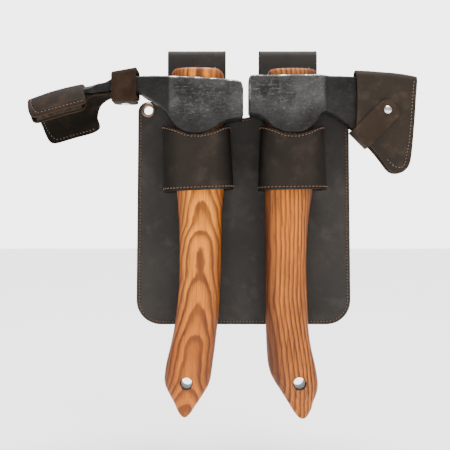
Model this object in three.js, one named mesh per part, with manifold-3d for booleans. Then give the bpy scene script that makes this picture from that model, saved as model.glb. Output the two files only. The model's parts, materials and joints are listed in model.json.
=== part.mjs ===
// Twin-tool belt holster in harness leather with a carving hatchet, a gouge adze and their blade covers.
// Units are millimetres. X runs to the right, Z up, and the front of the holster faces -Y.
// The origin is the middle of the passage the wearer's belt goes through.
import * as THREE from "three";
import { mergeVertices } from "three/addons/utils/BufferGeometryUtils.js";
import Module from "manifold-3d";

// Leather and general clearances
const LEATHER = 2.4; // thickness of every leather layer
const GAP = 0.3; // daylight between pieces that rest on each other

// Belt loops: one folded strap behind each tool
const BELT_GAP = 6.0; // front to back room for the belt
const LOOP_WIDTH = 60.2;
const LOOP_CENTRES = { left: -48.2, right: 46.2 };
const LOOP_TOP = 30;
const LOOP_FOOT = -74;
const LOOP_PINCH = -30; // below this the two leaves of a loop close on each other
const LOOP_RIVET_Z = -60;
const LOOP_RIVET_OFFSET = 19;

// Back panel: lining against the loops, front layer over it
const LOOP_FRONT_Y = -BELT_GAP / 2 - LEATHER;
const LINING_Y = [LOOP_FRONT_Y - GAP - LEATHER, LOOP_FRONT_Y - GAP];
const PANEL_Y = [LINING_Y[0] - GAP - LEATHER, LINING_Y[0] - GAP];
const PANEL_TOP = -25.6;
const PANEL_DIP = -42.1; // lowest point of the top edge, between the loops
const PANEL_FOOT = -254.2;
const PANEL_HALF = { top: 108.2, foot: 110 };
const PANEL_CORNER = { top: 10, foot: 25 };
const EYELET = { x: 97.6, z: -34.3, bore: 4.5, tube: 5.0, flange: 7.2 };

// Both tools stand in one upright plane in front of the panel
const TOOL_Y = -28.5;
const EYE_CLEARANCE = 0.3;

// Sleeves: upright leather tubes sewn to the panel
const SLEEVE_HALF_DEPTH = (PANEL_Y[0] - GAP - (TOOL_Y - 17.6)) / 2;
const SLEEVE_Y = PANEL_Y[0] - GAP - SLEEVE_HALF_DEPTH;
const SLEEVES = {
  left: { top: [-81.4, -14], foot: [-80.4, -10], rim: -53.5, hem: [-119.4, -116.4] },
  right: { top: [16, 79], foot: [14, 83], rim: -53.5, hem: [-117.9, -116.9] },
};
// Depth of the scoop in a sleeve's top edge, from its left side (-1) to its right side (1)
const SLEEVE_SCOOP = [[-1, 0], [-0.6, 4.8], [-0.2, 9.7], [0.05, 10.1], [0.45, 7.8], [0.85, 1.6], [1, 0]];

// Handles: level, left side, right side, half thickness
const AXE_HANDLE = [
  [2.6, 26, 70, 10.5], [0.2, 24, 72.5, 11.6], [-4, 23.3, 73.3, 12], [-63, 22, 70, 12.4],
  [-100, 21.2, 68.6, 13], [-119, 21, 68, 13.2], [-131, 21, 66.2, 13.3], [-155, 21.7, 63.4, 13.4],
  [-194, 22, 62, 13.2], [-227, 22, 63, 12.9], [-251, 21.6, 64, 12.6], [-263, 22, 65.2, 12.4],
  [-275, 22.6, 67.2, 12.2], [-287, 23.4, 70, 12], [-299, 26, 72.4, 11.6], [-305, 28.8, 73.3, 11.3],
  [-311, 32.4, 73.8, 10.8], [-317, 36.4, 73.2, 10], [-323, 40.2, 71.4, 9], [-329, 44, 69, 7.8],
  [-335, 47.6, 67.4, 6.8], [-340.5, 51.4, 64.6, 5.6], [-343.8, 54.2, 62.4, 4.2], [-345.3, 56.6, 60.2, 2.4],
];
const ADZE_HANDLE = [
  [3.2, -69, -25, 10.5], [0.8, -71.4, -22, 11.6], [-4, -72.5, -20, 12], [-63, -69.8, -19.6, 12.4],
  [-100, -67.6, -19.6, 13], [-119, -67, -20.2, 13.2], [-131, -66, -21.8, 13.3], [-155, -64.6, -22.6, 13.4],
  [-194, -64.2, -23.2, 13.2], [-215, -65, -24, 13], [-239, -67.4, -25.2, 12.7], [-251, -69.2, -26.4, 12.5],
  [-263, -71.4, -27.8, 12.3], [-275, -74, -29.2, 12], [-287, -77, -30.8, 11.8], [-299, -79, -32.4, 11.5],
  [-305, -79.6, -33.4, 11.3], [-311, -78.8, -35.2, 10.8], [-317, -76.4, -38.4, 10], [-323, -73.2, -42.2, 9],
  [-329, -70, -46.2, 7.8], [-335, -67.4, -50.2, 6.8], [-339.5, -65.2, -53.2, 5.6], [-342.5, -62.8, -56, 4.2], [-344, -61, -57.8, 2.4],
];
const LANYARD = { axe: { x: 54.5, z: -308, r: 5.6 }, adze: { x: -57, z: -308, r: 5.3 } };
const KERF = { depth: 34, half: 1.2 };

// Axe head, from the poll to the cutting edge: x, top, bottom, half thickness, edge bevel
const AXE_HEAD = [
  [4.4, -7.2, -39.6, 14, 1.6], [6.6, -4.9, -42, 16.5, 1.6], [14, -4.7, -43.8, 16.5, 1.6],
  [17.5, -4.7, -46, 16.5, 1.6], [22, -4.7, -49.4, 16.5, 1.6], [25.8, -4.7, -53.4, 16.5, 1.6],
  [30, -4.7, -57, 16.5, 1.6], [36, -4.6, -59.8, 16.5, 1.6], [44.4, -4.6, -61.8, 16.5, 1.6],
  [54, -4.5, -61.8, 16.5, 1.6], [60, -4.5, -59.8, 16.5, 1.6], [64, -4.5, -57, 16.5, 1.6],
  [68, -4.5, -52.8, 16.5, 1.6], [71.6, -4.5, -48.4, 16.5, 1.6], [74.4, -4.5, -43.6, 16.4, 1.6],
  [77.4, -4.5, -40.4, 15.6, 1.6], [80.4, -4.5, -39.8, 13.2, 1.6], [84, -4.5, -40.8, 11, 1.6],
  [89, -4.4, -43.2, 9, 1.5], [95.4, -4.2, -46.8, 7.6, 1.4], [107, -4.3, -56.4, 6.2, 1.2],
  [116, -5, -63.8, 5.2, 1], [125, -5.8, -71, 4.2, 0.8], [135, -6.8, -78.6, 3.3, 0.7],
  [143, -7.8, -84.2, 2.5, 0.5], [150, -8.8, -87.6, 1.8, 0.4], [154, -9.4, -86.6, 1.3, 0.3],
  [157, -12, -82, 0.9, 0.2], [158.8, -19, -73, 0.6, 0.15], [159.6, -34, -58, 0.4, 0.1],
];

// Adze head, poll and eye: as the axe head, counted from the poll towards the blade
const ADZE_BLOCK = [
  [-1, -17, -44, 14, 1.6], [-3.2, -11.4, -46.6, 16.5, 1.6], [-14, -9.4, -48.2, 16.5, 1.6],
  [-20, -8.6, -50.4, 16.5, 1.6], [-24.5, -8.2, -53, 16.5, 1.6], [-30, -7.8, -57, 16.5, 1.6],
  [-36.5, -7.4, -60.2, 16.5, 1.6], [-44, -7, -62.6, 16.5, 1.6], [-53, -6.6, -62.6, 16.5, 1.6],
  [-60, -6.2, -60.2, 16.5, 1.6], [-66, -6, -56.4, 16.5, 1.6], [-70, -5.8, -51.6, 16.5, 1.6],
  [-73.4, -5.7, -46, 16.3, 1.6], [-76.4, -5.6, -41, 15.4, 1.6], [-79.6, -5.4, -38, 13.8, 1.6],
  [-84, -5, -34.4, 12.6, 1.6], [-91, -4.7, -29.2, 11.8, 1.6], [-99, -4.9, -24.6, 11.5, 1.6],
  [-106, -5.3, -20.2, 11.5, 1.6], [-112, -5.6, -19.2, 11.5, 1.6], [-119.5, -6.2, -18.8, 11.5, 1.6],
  [-130, -7.8, -18.8, 11.8, 1.6],
];
// Adze blade, an upturned gutter: x and level at the crown, radius, half angle in degrees, thickness
const ADZE_BLADE = [
  [-137.5, -9.8, 34, 23, 8.8], [-144.5, -11.6, 35, 29.5, 7.4], [-150.2, -14, 35.2, 37.5, 5.6],
  [-158.4, -16.8, 35, 42, 3.3], [-171.4, -19.4, 35.2, 44.5, 3.3], [-181.4, -21.9, 35.2, 45, 3],
  [-191.4, -24.8, 35.2, 45, 2.4], [-197.4, -26.9, 35.2, 44.5, 1.6], [-201.4, -28.4, 35.2, 43, 0.8],
];
const ACROSS = 17; // points across a section of the adze head
const BLADE_PITCH = 0.29; // how far the gutter's sections lean towards the handle, per mm of drop
const BLADE_TWIST = 0.2; // how far the far wing hangs below the near one, per mm of width

// Adze cover: crown line of the outer leaf, then that of the inner leaf where it runs on under the neck
const COVER_CROWN = [
  [-211.9, -29.3], [-201.4, -25.5], [-191.4, -22], [-181.4, -19.1], [-171.4, -16.6], [-158.4, -13.9],
];
const COVER_UNDER = [
  [-155, -20.6], [-150, -20.7], [-144, -20.6], [-137, -19.9], [-120, -19.3], [-110, -19.8],
];
const COVER_RADIUS = 38; // outer surface; the other layers are concentric with it
const COVER_BEND = THREE.MathUtils.degToRad(60); // the wings run straight on from here
const COVER_ROOM = 4.2; // between the outer and the inner leaf, filled by the blade or the welt
// How far the wings run from the crown, along the outer surface: x at the crown, near wing, far wing
const COVER_WINGS = [
  [-211.9, 40, 40], [-211.5, 45, 44.5], [-210.6, 48.6, 47.8], [-209, 51, 50], [-206.5, 52.6, 51.4],
  [-203, 53.4, 52], [-196, 54, 52.4], [-188, 54.2, 52.6], [-178, 54.2, 52.6], [-169, 54, 52.4],
  [-163.4, 53.4, 51.8],
];
const OUTER_END = [[-160.4, 52.6, 51], [-158.9, 51, 49.6], [-158.4, 48.6, 47.4]];
// The inner leaf runs on behind the wings and narrows to a strap under the neck
const NECK_LEAF = [
  [-160.6, 50, 50], [-157.6, 43, 43], [-154.8, 35, 35], [-151.5, 28.5, 28.5], [-147.8, 23, 23],
  [-143, 18.5, 18.5], [-137.5, 15, 15], [-131, 12.4, 12.4], [-120, 10.8, 10.8], [-110, 10.4, 10.4],
];
// Keeper round the neck: its top edge rises from left to right
const KEEPER = { x: [-130.5, -106], half: 15, top: [-1.2, 3.4], bottom: -26.4, drop: 1.6, reach: 9.5 };
const KEEPER_SNAP = { y: 1.5, cap: 4.6, stud: 3.2 };

// Axe mask: outline of the folded leather, clockwise from the mouth's top corner
const MASK_OUTLINE = [
  [109.8, 2.4], [122, 2], [134, 1.2], [148.8, 0.2], [160, -1.2], [172.6, -3.6], [172.2, -12],
  [171.2, -24], [170, -43.4], [168.8, -58.2], [167.6, -72], [166.4, -83], [165.4, -89], [163.4, -94],
  [160, -98], [155.6, -100.5], [150.8, -101], [146.4, -99.8], [142.9, -96.8], [137.9, -89.8],
  [132, -81.9], [124.1, -73], [116.5, -64.7], [110.2, -57.6], [110.8, -50], [111.4, -40], [111.7, -27],
  [111.6, -14], [110.8, -6],
];
const MASK_WELT = [
  [171.4, -7], [170.6, -20], [169.8, -34], [168.8, -48], [167.4, -64], [165.8, -80], [164.2, -88],
  [162, -93], [158.9, -96.9], [155.2, -99.1], [151, -99.6], [147.2, -98.8], [144.4, -96.4],
  [149, -91.2], [151.6, -91.6], [154.2, -91], [156.2, -88.6], [157.6, -85.6], [158.8, -80],
  [159.9, -70], [160.6, -58], [160.9, -44], [161.2, -28], [161.4, -7],
];
const MASK_ROOM = { mouth: [108, 7], edge: [172, 1.9] }; // x and half room between the leaves
const MASK_FOLD = 2.7; // thickness of the folded top

// Axe mask strap: runs from a fold under the beard up the front of the mask
const STRAP = { fold: [114.2, -67.6], angle: 45, width: 23.2, length: 49, base: 34, thick: 2.2 };
const SNAP = { along: 40, across: -1.4, cap: 3.9, stud: 2.2 };

// Finishes
const TAN = 0x4a2c1a;
const DARK = 0x2b211c;
const STEEL = 0x3d3e41;
const finish = {
  panel: new THREE.MeshStandardMaterial({ name: "panel", color: DARK, roughness: 0.62 }),
  lining: new THREE.MeshStandardMaterial({ name: "lining", color: 0x3a2a20, roughness: 0.85 }),
  cover: new THREE.MeshStandardMaterial({ name: "cover", color: TAN, roughness: 0.6 }),
  welt: new THREE.MeshStandardMaterial({ name: "welt", color: 0x5d4026, roughness: 0.85 }),
  forged: new THREE.MeshStandardMaterial({ name: "forged", color: STEEL, roughness: 0.55, metalness: 0.9 }),
  walnut: new THREE.MeshStandardMaterial({ name: "walnut", color: 0x7a5436, roughness: 0.6 }),
  ash: new THREE.MeshStandardMaterial({ name: "ash", color: 0xb07a4c, roughness: 0.55 }),
  wedge: new THREE.MeshStandardMaterial({ name: "wedge", color: 0xc79a66, roughness: 0.7 }),
  wedge_steel: new THREE.MeshStandardMaterial({ name: "wedge_steel", color: 0x77797c, metalness: 0.9 }),
  copper: new THREE.MeshStandardMaterial({ name: "copper", color: 0x9a6a45, metalness: 1, roughness: 0.35 }),
  nickel: new THREE.MeshStandardMaterial({ name: "nickel", color: 0xc9c9c6, metalness: 1, roughness: 0.25 }),
};

const wasm = await Module();
wasm.setup();

// ---- helpers -------------------------------------------------------------------------------

const lerp = (a, b, t) => a + (b - a) * t;

// Value of a table of [key, value, ...] rows at a key, with straight lines between the rows
function lookup(rows, key, column = 1) {
  const up = rows[0][0] < rows[rows.length - 1][0];
  const sorted = up ? rows : [...rows].reverse();
  if (key <= sorted[0][0]) return sorted[0][column];
  for (let i = 1; i < sorted.length; i++) {
    const [a, b] = [sorted[i - 1], sorted[i]];
    if (key <= b[0]) return lerp(a[column], b[column], (key - a[0]) / (b[0] - a[0]));
  }
  return sorted[sorted.length - 1][column];
}

// Closed solid from corners and triangles, turned so that its faces look outwards
function solid(corners, triangles) {
  const geometry = new THREE.BufferGeometry();
  geometry.setAttribute("position", new THREE.Float32BufferAttribute(corners.flat(), 3));
  let volume = 0;
  for (const [i, j, k] of triangles) {
    const [a, b, c] = [corners[i], corners[j], corners[k]];
    volume += a[0] * (b[1] * c[2] - b[2] * c[1]) - a[1] * (b[0] * c[2] - b[2] * c[0])
      + a[2] * (b[0] * c[1] - b[1] * c[0]);
  }
  const facing = volume > 0 ? triangles : triangles.map(([a, b, c]) => [a, c, b]);
  geometry.setIndex(facing.flat());
  return geometry;
}

// Solid through a row of sections; each section is a pair of equally long edges of points
function loft(sections) {
  const corners = [];
  const triangles = [];
  const across = sections[0][0].length;
  const around = across * 2;
  for (const [upper, lower] of sections) corners.push(...upper, ...[...lower].reverse());
  for (let s = 0; s + 1 < sections.length; s++) {
    for (let i = 0; i < around; i++) {
      const [a, b] = [s * around + i, s * around + ((i + 1) % around)];
      triangles.push([a, b, b + around], [a, b + around, a + around]);
    }
  }
  const last = (sections.length - 1) * around;
  for (let i = 0; i + 1 < across; i++) {
    const [a, b, c, d] = [i, i + 1, around - 2 - i, around - 1 - i];
    triangles.push([b, a, c], [a, d, c]);
    triangles.push([last + a, last + b, last + c], [last + a, last + c, last + d]);
  }
  return solid(corners, triangles);
}

// Straight prism over an outline of [u, v] points; place(u, v, depth) puts a corner in space
function prism(outline, from, to, place = (u, v, depth) => [u, depth, v]) {
  const points = outline.map(([u, v]) => new THREE.Vector2(u, v));
  if (THREE.ShapeUtils.isClockWise(points)) points.reverse();
  const faces = THREE.ShapeUtils.triangulateShape(points, []);
  const corners = [];
  for (const depth of [from, to]) for (const p of points) corners.push(place(p.x, p.y, depth));
  const n = points.length;
  const triangles = [];
  for (const [a, b, c] of faces) triangles.push([a, c, b], [a + n, b + n, c + n]);
  for (let i = 0; i < n; i++) {
    const j = (i + 1) % n;
    triangles.push([i, j, j + n], [i, j + n, i + n]);
  }
  return solid(corners, triangles);
}

// Turned part: profile of [radius, height] points spun about the Y direction through (x, z)
function turned(profile, x, z, sides = 24) {
  const geometry = new THREE.LatheGeometry(profile.map(([r, y]) => new THREE.Vector2(r, y)), sides);
  return clean(geometry.translate(x, 0, z));
}

function clean(geometry) {
  const bare = geometry.index ? geometry.toNonIndexed() : geometry.clone();
  for (const name of Object.keys(bare.attributes)) if (name !== "position") bare.deleteAttribute(name);
  const merged = mergeVertices(bare, 1e-4);
  const p = merged.attributes.position;
  const corners = Array.from({ length: p.count }, (_, i) => [p.getX(i), p.getY(i), p.getZ(i)]);
  const triangles = [];
  const index = merged.index.array;
  for (let i = 0; i < index.length; i += 3) {
    const [a, b, c] = [index[i], index[i + 1], index[i + 2]];
    if (a !== b && b !== c && a !== c) triangles.push([a, b, c]);
  }
  return solid(corners, triangles);
}

function toManifold(geometry) {
  const g = clean(geometry);
  return new wasm.Manifold(new wasm.Mesh({
    numProp: 3,
    vertProperties: new Float32Array(g.attributes.position.array),
    triVerts: new Uint32Array(g.index.array),
  }));
}

function fromManifold(manifold) {
  const mesh = manifold.getMesh();
  const geometry = new THREE.BufferGeometry();
  const corners = [];
  for (let i = 0; i < mesh.vertProperties.length; i += mesh.numProp) {
    corners.push(mesh.vertProperties[i], mesh.vertProperties[i + 1], mesh.vertProperties[i + 2]);
  }
  geometry.setAttribute("position", new THREE.Float32BufferAttribute(corners, 3));
  geometry.setIndex(Array.from(mesh.triVerts));
  return geometry;
}

const cut = (body, ...tools) =>
  fromManifold(tools.reduce((left, tool) => left.subtract(toManifold(tool)), toManifold(body)));
const common = (...bodies) =>
  fromManifold(bodies.map(toManifold).reduce((left, right) => left.intersect(right)));
const box = (x, y, z) =>
  prism([[x[0], z[0]], [x[1], z[0]], [x[1], z[1]], [x[0], z[1]]], y[0], y[1]);
// Round tool along Y, for drilling
function drill(x, z, radius, from, to, sides = 24) {
  const ring = Array.from({ length: sides }, (_, i) => {
    const turn = ((i + 0.5) / sides) * 2 * Math.PI;
    return [x + radius * Math.cos(turn), z + radius * Math.sin(turn)];
  });
  return prism(ring, from, to);
}
// Quarter-turn corner from one direction to the next, about (x, z)
function arc(x, z, radius, from, to, steps = 6) {
  return Array.from({ length: steps + 1 }, (_, i) => {
    const turn = THREE.MathUtils.degToRad(lerp(from, to, i / steps));
    return [x + radius * Math.cos(turn), z + radius * Math.sin(turn)];
  });
}

const root = new THREE.Group();
root.name = "belt_holster_with_axe_and_adze";
function add(name, geometry, material) {
  const mesh = new THREE.Mesh(geometry, material);
  mesh.name = name;
  root.add(mesh);
}

// ---- holster -------------------------------------------------------------------------------

function panelOutline(inset) {
  const half = (z) => lerp(PANEL_HALF.foot, PANEL_HALF.top, (z - PANEL_FOOT) / (PANEL_TOP - PANEL_FOOT));
  const top = PANEL_TOP - inset;
  const foot = PANEL_FOOT + inset;
  const { top: r, foot: R } = PANEL_CORNER;
  const [right, low] = [half(top) - inset, half(foot) - inset];
  return [
    ...arc(right - r, top - r, r, 0, 90), [30, top], [22, top - 1.6], [16, top - 6], [11, PANEL_DIP + 3.4],
    [4, PANEL_DIP], [-5, PANEL_DIP], [-12, PANEL_DIP + 3.4], [-17, top - 6], [-23, top - 1.6], [-31, top],
    ...arc(-right + r, top - r, r, 90, 180), ...arc(-low + R, foot + R, R, 180, 270, 9),
    ...arc(low - R, foot + R, R, 270, 360, 9),
  ];
}

for (const [name, [back, front], inset, material] of [
  ["panel_front", [PANEL_Y[1], PANEL_Y[0]], 0, finish.panel],
  ["panel_lining", [LINING_Y[1], LINING_Y[0]], 0.6, finish.lining],
]) {
  const holes = [-1, 1].map((side) =>
    drill(side * EYELET.x, EYELET.z, EYELET.tube + GAP, front - 1, back + 1));
  add(name, cut(prism(panelOutline(inset), front, back), ...holes), material);
}

// Side view of a belt loop as [y, z], outer line and inner line
function loopLines() {
  const out = BELT_GAP / 2 + LEATHER;
  const inn = BELT_GAP / 2;
  const shut = -BELT_GAP / 2 + GAP; // where the rear leaf lies once it is closed on the front one
  const bend = (half, peak) =>
    arc(0, 0, 1, 180, 0, 12).map(([u, v]) => [u * half, LOOP_TOP - out + v * peak]);
  const outer = [[-out, LOOP_FOOT], [-out, -30], ...bend(out, out),
    [out, LOOP_PINCH + 8], [out - 1.2, LOOP_PINCH], [shut + LEATHER + 0.8, LOOP_PINCH - 14],
    [shut + LEATHER, LOOP_PINCH - 19], [shut + LEATHER, LOOP_FOOT]];
  const inner = [[-inn, LOOP_FOOT], [-inn, -30], ...bend(inn, inn),
    [inn, LOOP_PINCH + 8], [inn - 1, LOOP_PINCH], [shut + 0.8, LOOP_PINCH - 14],
    [shut, LOOP_PINCH - 19], [shut, LOOP_FOOT]];
  return [outer, inner];
}

for (const side of ["left", "right"]) {
  const centre = LOOP_CENTRES[side];
  const [outer, inner] = loopLines();
  const section = (x) => [outer.map(([y, z]) => [x, y, z]), inner.map(([y, z]) => [x, y, z])];
  const strap = loft([section(centre - LOOP_WIDTH / 2), section(centre + LOOP_WIDTH / 2)]);
  const spots = [-1, 1].map((s) => centre + s * LOOP_RIVET_OFFSET);
  const bores = spots.map((x) => drill(x, LOOP_RIVET_Z, 1.9, -8, 8, 16));
  add(`belt_loop_${side}`, cut(strap, ...bores), finish.panel);
  const face = -BELT_GAP / 2 + GAP + LEATHER; // rear face of the closed leaves
  spots.forEach((x, i) => add(`loop_rivet_${side}_${i + 1}`, turned([
    [0, LOOP_FRONT_Y + 0.4], [1.6, LOOP_FRONT_Y + 0.4], [1.6, face + 0.1], [4.2, face + 0.1],
    [4.2, face + 0.6], [3.2, face + 1.4], [1.6, face + 1.9], [0, face + 2.0],
  ], x, LOOP_RIVET_Z, 20), finish.copper));
}

// Point on a squared-off oval
function oval(turn, halfX, halfY, power) {
  const [c, s] = [Math.cos(turn), Math.sin(turn)];
  const bulge = (v) => Math.sign(v) * Math.abs(v) ** (2 / power);
  return [halfX * bulge(c), halfY * bulge(s)];
}

for (const [side, { top, foot, rim, hem }] of Object.entries(SLEEVES)) {
  const columns = 36;
  const rows = 7;
  const corners = [];
  const triangles = [];
  for (const wall of [0, LEATHER + 0.2]) {
    for (let row = 0; row <= rows; row++) {
      for (let i = 0; i < columns; i++) {
        const turn = (i / columns) * 2 * Math.PI;
        const across = oval(turn, 1, 1, 2.7)[0];
        const high = rim - lookup(SLEEVE_SCOOP, across);
        const low = lerp(hem[0], hem[1], (across + 1) / 2);
        const z = lerp(high, low, row / rows);
        const [l, r] = [0, 1].map((e) => lerp(top[e], foot[e], (rim - z) / (rim - hem[0])));
        const [x, y] = oval(turn, (r - l) / 2 - wall, SLEEVE_HALF_DEPTH - wall, 2.7);
        corners.push([(l + r) / 2 + x, SLEEVE_Y + y, z]);
      }
    }
  }
  const at = (wall, row, i) => (wall * (rows + 1) + row) * columns + (i % columns);
  for (let i = 0; i < columns; i++) {
    for (let row = 0; row < rows; row++) {
      for (const wall of [0, 1]) {
        const quad = [[row, i], [row, i + 1], [row + 1, i + 1], [row + 1, i]].map((c) => at(wall, ...c));
        if (wall) quad.reverse();
        triangles.push([quad[0], quad[1], quad[2]], [quad[0], quad[2], quad[3]]);
      }
    }
    const high = [at(1, 0, i), at(1, 0, i + 1), at(0, 0, i + 1), at(0, 0, i)];
    const low = [at(0, rows, i), at(0, rows, i + 1), at(1, rows, i + 1), at(1, rows, i)];
    for (const q of [high, low]) triangles.push([q[0], q[1], q[2]], [q[0], q[2], q[3]]);
  }
  add(`sleeve_${side}`, solid(corners, triangles), finish.panel);
}

for (const [side, sign] of [["left", -1], ["right", 1]]) {
  const [front, back] = [PANEL_Y[0], LINING_Y[1]];
  const { bore, tube, flange } = EYELET;
  add(`eyelet_${side}`, turned([
    [bore, back + 0.4], [tube, back + 0.4], [tube, front - 0.1], [flange, front - 0.1],
    [flange, front - 0.5], [flange - 0.7, front - 1.2], [tube + 0.6, front - 1.4], [bore, front - 0.8],
    [bore, back + 0.4],
  ], sign * EYELET.x, EYELET.z), finish.copper);
  add(`eyelet_washer_${side}`, turned([
    [tube + 0.2, back + 0.1], [flange, back + 0.1], [flange, back + 0.6], [tube + 0.9, back + 0.9],
    [tube + 0.2, back + 0.6], [tube + 0.2, back + 0.1],
  ], sign * EYELET.x, EYELET.z), finish.copper);
}

// ---- tools ---------------------------------------------------------------------------------

function handleSolid(rows, grow = 0) {
  const ring = ([z, left, right, half]) => {
    const points = Array.from({ length: 28 }, (_, i) => {
      const turn = ((i + 0.5) / 28) * 2 * Math.PI;
      const [x, y] = oval(turn, (right - left) / 2 + grow, half + grow, 2.35);
      return [(left + right) / 2 + x, TOOL_Y + y, z];
    });
    return [points.slice(0, 14), points.slice(14).reverse()];
  };
  return loft(rows.map(ring));
}

// Rows of a handle table inside a span of levels, with rows at the span's own ends
function span(rows, high, low) {
  const at = (z) => [z, ...[1, 2, 3].map((c) => lookup(rows, z, c))];
  return [at(high), ...rows.filter(([z]) => z < high && z > low), at(low)];
}

function handleWithCuts(rows, hole, kerfX, crossX) {
  const top = rows[0][0];
  return cut(
    handleSolid(rows),
    drill(hole.x, hole.z, hole.r, TOOL_Y - 20, TOOL_Y + 20),
    box(kerfX, [TOOL_Y - KERF.half, TOOL_Y + KERF.half], [top - KERF.depth, top + 5]),
    box([crossX - 0.9, crossX + 0.9], [TOOL_Y - 7, TOOL_Y + 7], [top - 16, top + 5]),
  );
}

function addWedges(tool, rows, kerfX, crossX) {
  const top = rows[0][0];
  const slim = KERF.half - 0.15;
  const [x0, x1] = [kerfX[0] + 0.3, kerfX[1] - 0.3];
  const level = (z, half) => [
    [[x0, TOOL_Y - half, z], [x1, TOOL_Y - half, z]],
    [[x0, TOOL_Y + half, z], [x1, TOOL_Y + half, z]],
  ];
  add(`${tool}_wood_wedge`, loft([level(top + 0.8, slim), level(top - 31, 0.35)]), finish.wedge);
  const pin = (z, half) => [
    [[crossX - half, TOOL_Y - 6.6, z], [crossX - half, TOOL_Y + 6.6, z]],
    [[crossX + half, TOOL_Y - 6.6, z], [crossX + half, TOOL_Y + 6.6, z]],
  ];
  add(`${tool}_steel_wedge`, loft([pin(top + 1, 0.75), pin(top - 14, 0.25)]), finish.wedge_steel);
}

// Section of a head's solid block: flat cheeks with bevelled edges
function blockSection([x, high, low, half, bevel], across = ACROSS) {
  const edge = (z, inward) => Array.from({ length: across }, (_, i) => {
    if (i === 0) return [x, TOOL_Y - half, z + inward];
    if (i === across - 1) return [x, TOOL_Y + half, z + inward];
    return [x, TOOL_Y + lerp(-1, 1, (i - 1) / (across - 3)) * (half - bevel), z];
  });
  return [edge(high, -bevel), edge(low, bevel)];
}

// The twist comes in between the neck and the full width of the blade
const twistAt = (x) => BLADE_TWIST * THREE.MathUtils.clamp((-138 - x) / 23, 0, 1);

// Section of the adze's gutter; the same number of points as a block section
function gutterSection([x, crown, radius, spread, thick]) {
  const edge = (depth) => Array.from({ length: ACROSS }, (_, i) => {
    const turn = THREE.MathUtils.degToRad(lerp(-spread, spread, i / (ACROSS - 1)));
    const y = (radius - depth) * Math.sin(turn);
    const down = depth + (radius - depth) * (1 - Math.cos(turn));
    return [x + BLADE_PITCH * down, TOOL_Y + y, crown - down - twistAt(x) * y];
  });
  return [edge(0), edge(thick)];
}

const axeKerf = [30, 56];
const adzeKerf = [-66, -38];
const axeCross = 64;
const adzeCross = -29;

// Tool that opens a head's eye: the handle's own shape with a little air, run on past the top
const eyeOf = (rows) => handleSolid([[20, ...rows[2].slice(1)], ...span(rows, -4, -75)], EYE_CLEARANCE);

const axeSections = AXE_HEAD.map((row) => blockSection(row, 7));
add("axe_head", cut(loft(axeSections), eyeOf(AXE_HANDLE)), finish.forged);
add("axe_handle", handleWithCuts(AXE_HANDLE, LANYARD.axe, axeKerf, axeCross), finish.walnut);
addWedges("axe", AXE_HANDLE, axeKerf, axeCross);

const adzeSections = [...ADZE_BLOCK.map((row) => blockSection(row)), ...ADZE_BLADE.map(gutterSection)];
add("adze_head", cut(loft(adzeSections), eyeOf(ADZE_HANDLE)), finish.forged);
add("adze_handle", handleWithCuts(ADZE_HANDLE, LANYARD.adze, adzeKerf, adzeCross), finish.ash);
addWedges("adze", ADZE_HANDLE, adzeKerf, adzeCross);

// ---- axe mask ------------------------------------------------------------------------------

const maskRoom = (x) => {
  const { mouth, edge } = MASK_ROOM;
  return lerp(mouth[1], edge[1], (x - mouth[0]) / (edge[0] - mouth[0]));
};
// Tapered slab about the tool plane, half as thick as the room between the leaves plus a margin
function taperedSlab(x0, x1, z0, z1, margin) {
  const section = (x) => {
    const half = maskRoom(x) + margin;
    return [z1, z0].map((z) => [[x, TOOL_Y - half, z], [x, TOOL_Y + half, z]]);
  };
  return loft([section(x0), section(x1)]);
}
const foldLine = (x) => lookup(MASK_OUTLINE.slice(0, 6), x) - MASK_FOLD;

function maskShell() {
  const envelope = prism(MASK_OUTLINE, TOOL_Y - 14, TOOL_Y + 14);
  const outside = taperedSlab(100, 178, -110, 6, LEATHER);
  const section = (x) => {
    const half = maskRoom(x);
    const high = foldLine(x);
    return [
      [[x, TOOL_Y - half, high - 1], [x, TOOL_Y, high], [x, TOOL_Y + half, high - 1]],
      [[x, TOOL_Y - half, -112], [x, TOOL_Y, -112], [x, TOOL_Y + half, -112]],
    ];
  };
  const inside = loft([100, 122, 134, 148.8, 160, 178].map(section));
  const roof = (x) => {
    const half = maskRoom(x) + LEATHER + 2;
    const high = lookup(MASK_OUTLINE.slice(0, 6), x);
    const side = [[half, -7.5], [half - 2.9, -1.9], [half - 5, 0]];
    const across = [...side.map(([y, z]) => [-y, z]), ...side.reverse()];
    return [
      across.map(([y, z]) => [x, TOOL_Y + y, high + z]),
      across.map(([y]) => [x, TOOL_Y + y, -115]),
    ];
  };
  const rounded = loft([100, 122, 134, 148.8, 160, 178].map(roof));
  return cut(common(envelope, outside, rounded), inside);
}

// Strap frame: u runs up the strap from the fold, v across it, w towards the back
const strapTurn = THREE.MathUtils.degToRad(STRAP.angle);
const [su, sw] = [Math.cos(strapTurn), Math.sin(strapTurn)];
function onStrap(u, v, w) {
  return [STRAP.fold[0] + u * su + v * sw, w, STRAP.fold[1] + u * sw - v * su];
}
const strapX = (u, v = 0) => onStrap(u, v, 0)[0];

// Straps lie on the mask's tapering sides, so each corner takes its depth from its own place
function strapLayer(outline, nearest, farthest, side) {
  const place = (u, v, far) => {
    const [x, , z] = onStrap(u, v, 0);
    const depth = maskRoom(x) + LEATHER + (far ? farthest : nearest);
    return [x, TOOL_Y + side * depth, z];
  };
  return prism(outline, 0, 1, place);
}
const halfStrap = STRAP.width / 2;
const tongue = [
  [2.2, -halfStrap], [STRAP.length - 9, -halfStrap], [STRAP.length - 3.4, -halfStrap + 3.4],
  [STRAP.length, -4.5], [STRAP.length, 4.5], [STRAP.length - 3.4, halfStrap - 3.4],
  [STRAP.length - 9, halfStrap], [2.2, halfStrap],
];
const snapAt = onStrap(SNAP.along, SNAP.across, 0);
const snapFace = TOOL_Y - maskRoom(snapAt[0]) - LEATHER;

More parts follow.
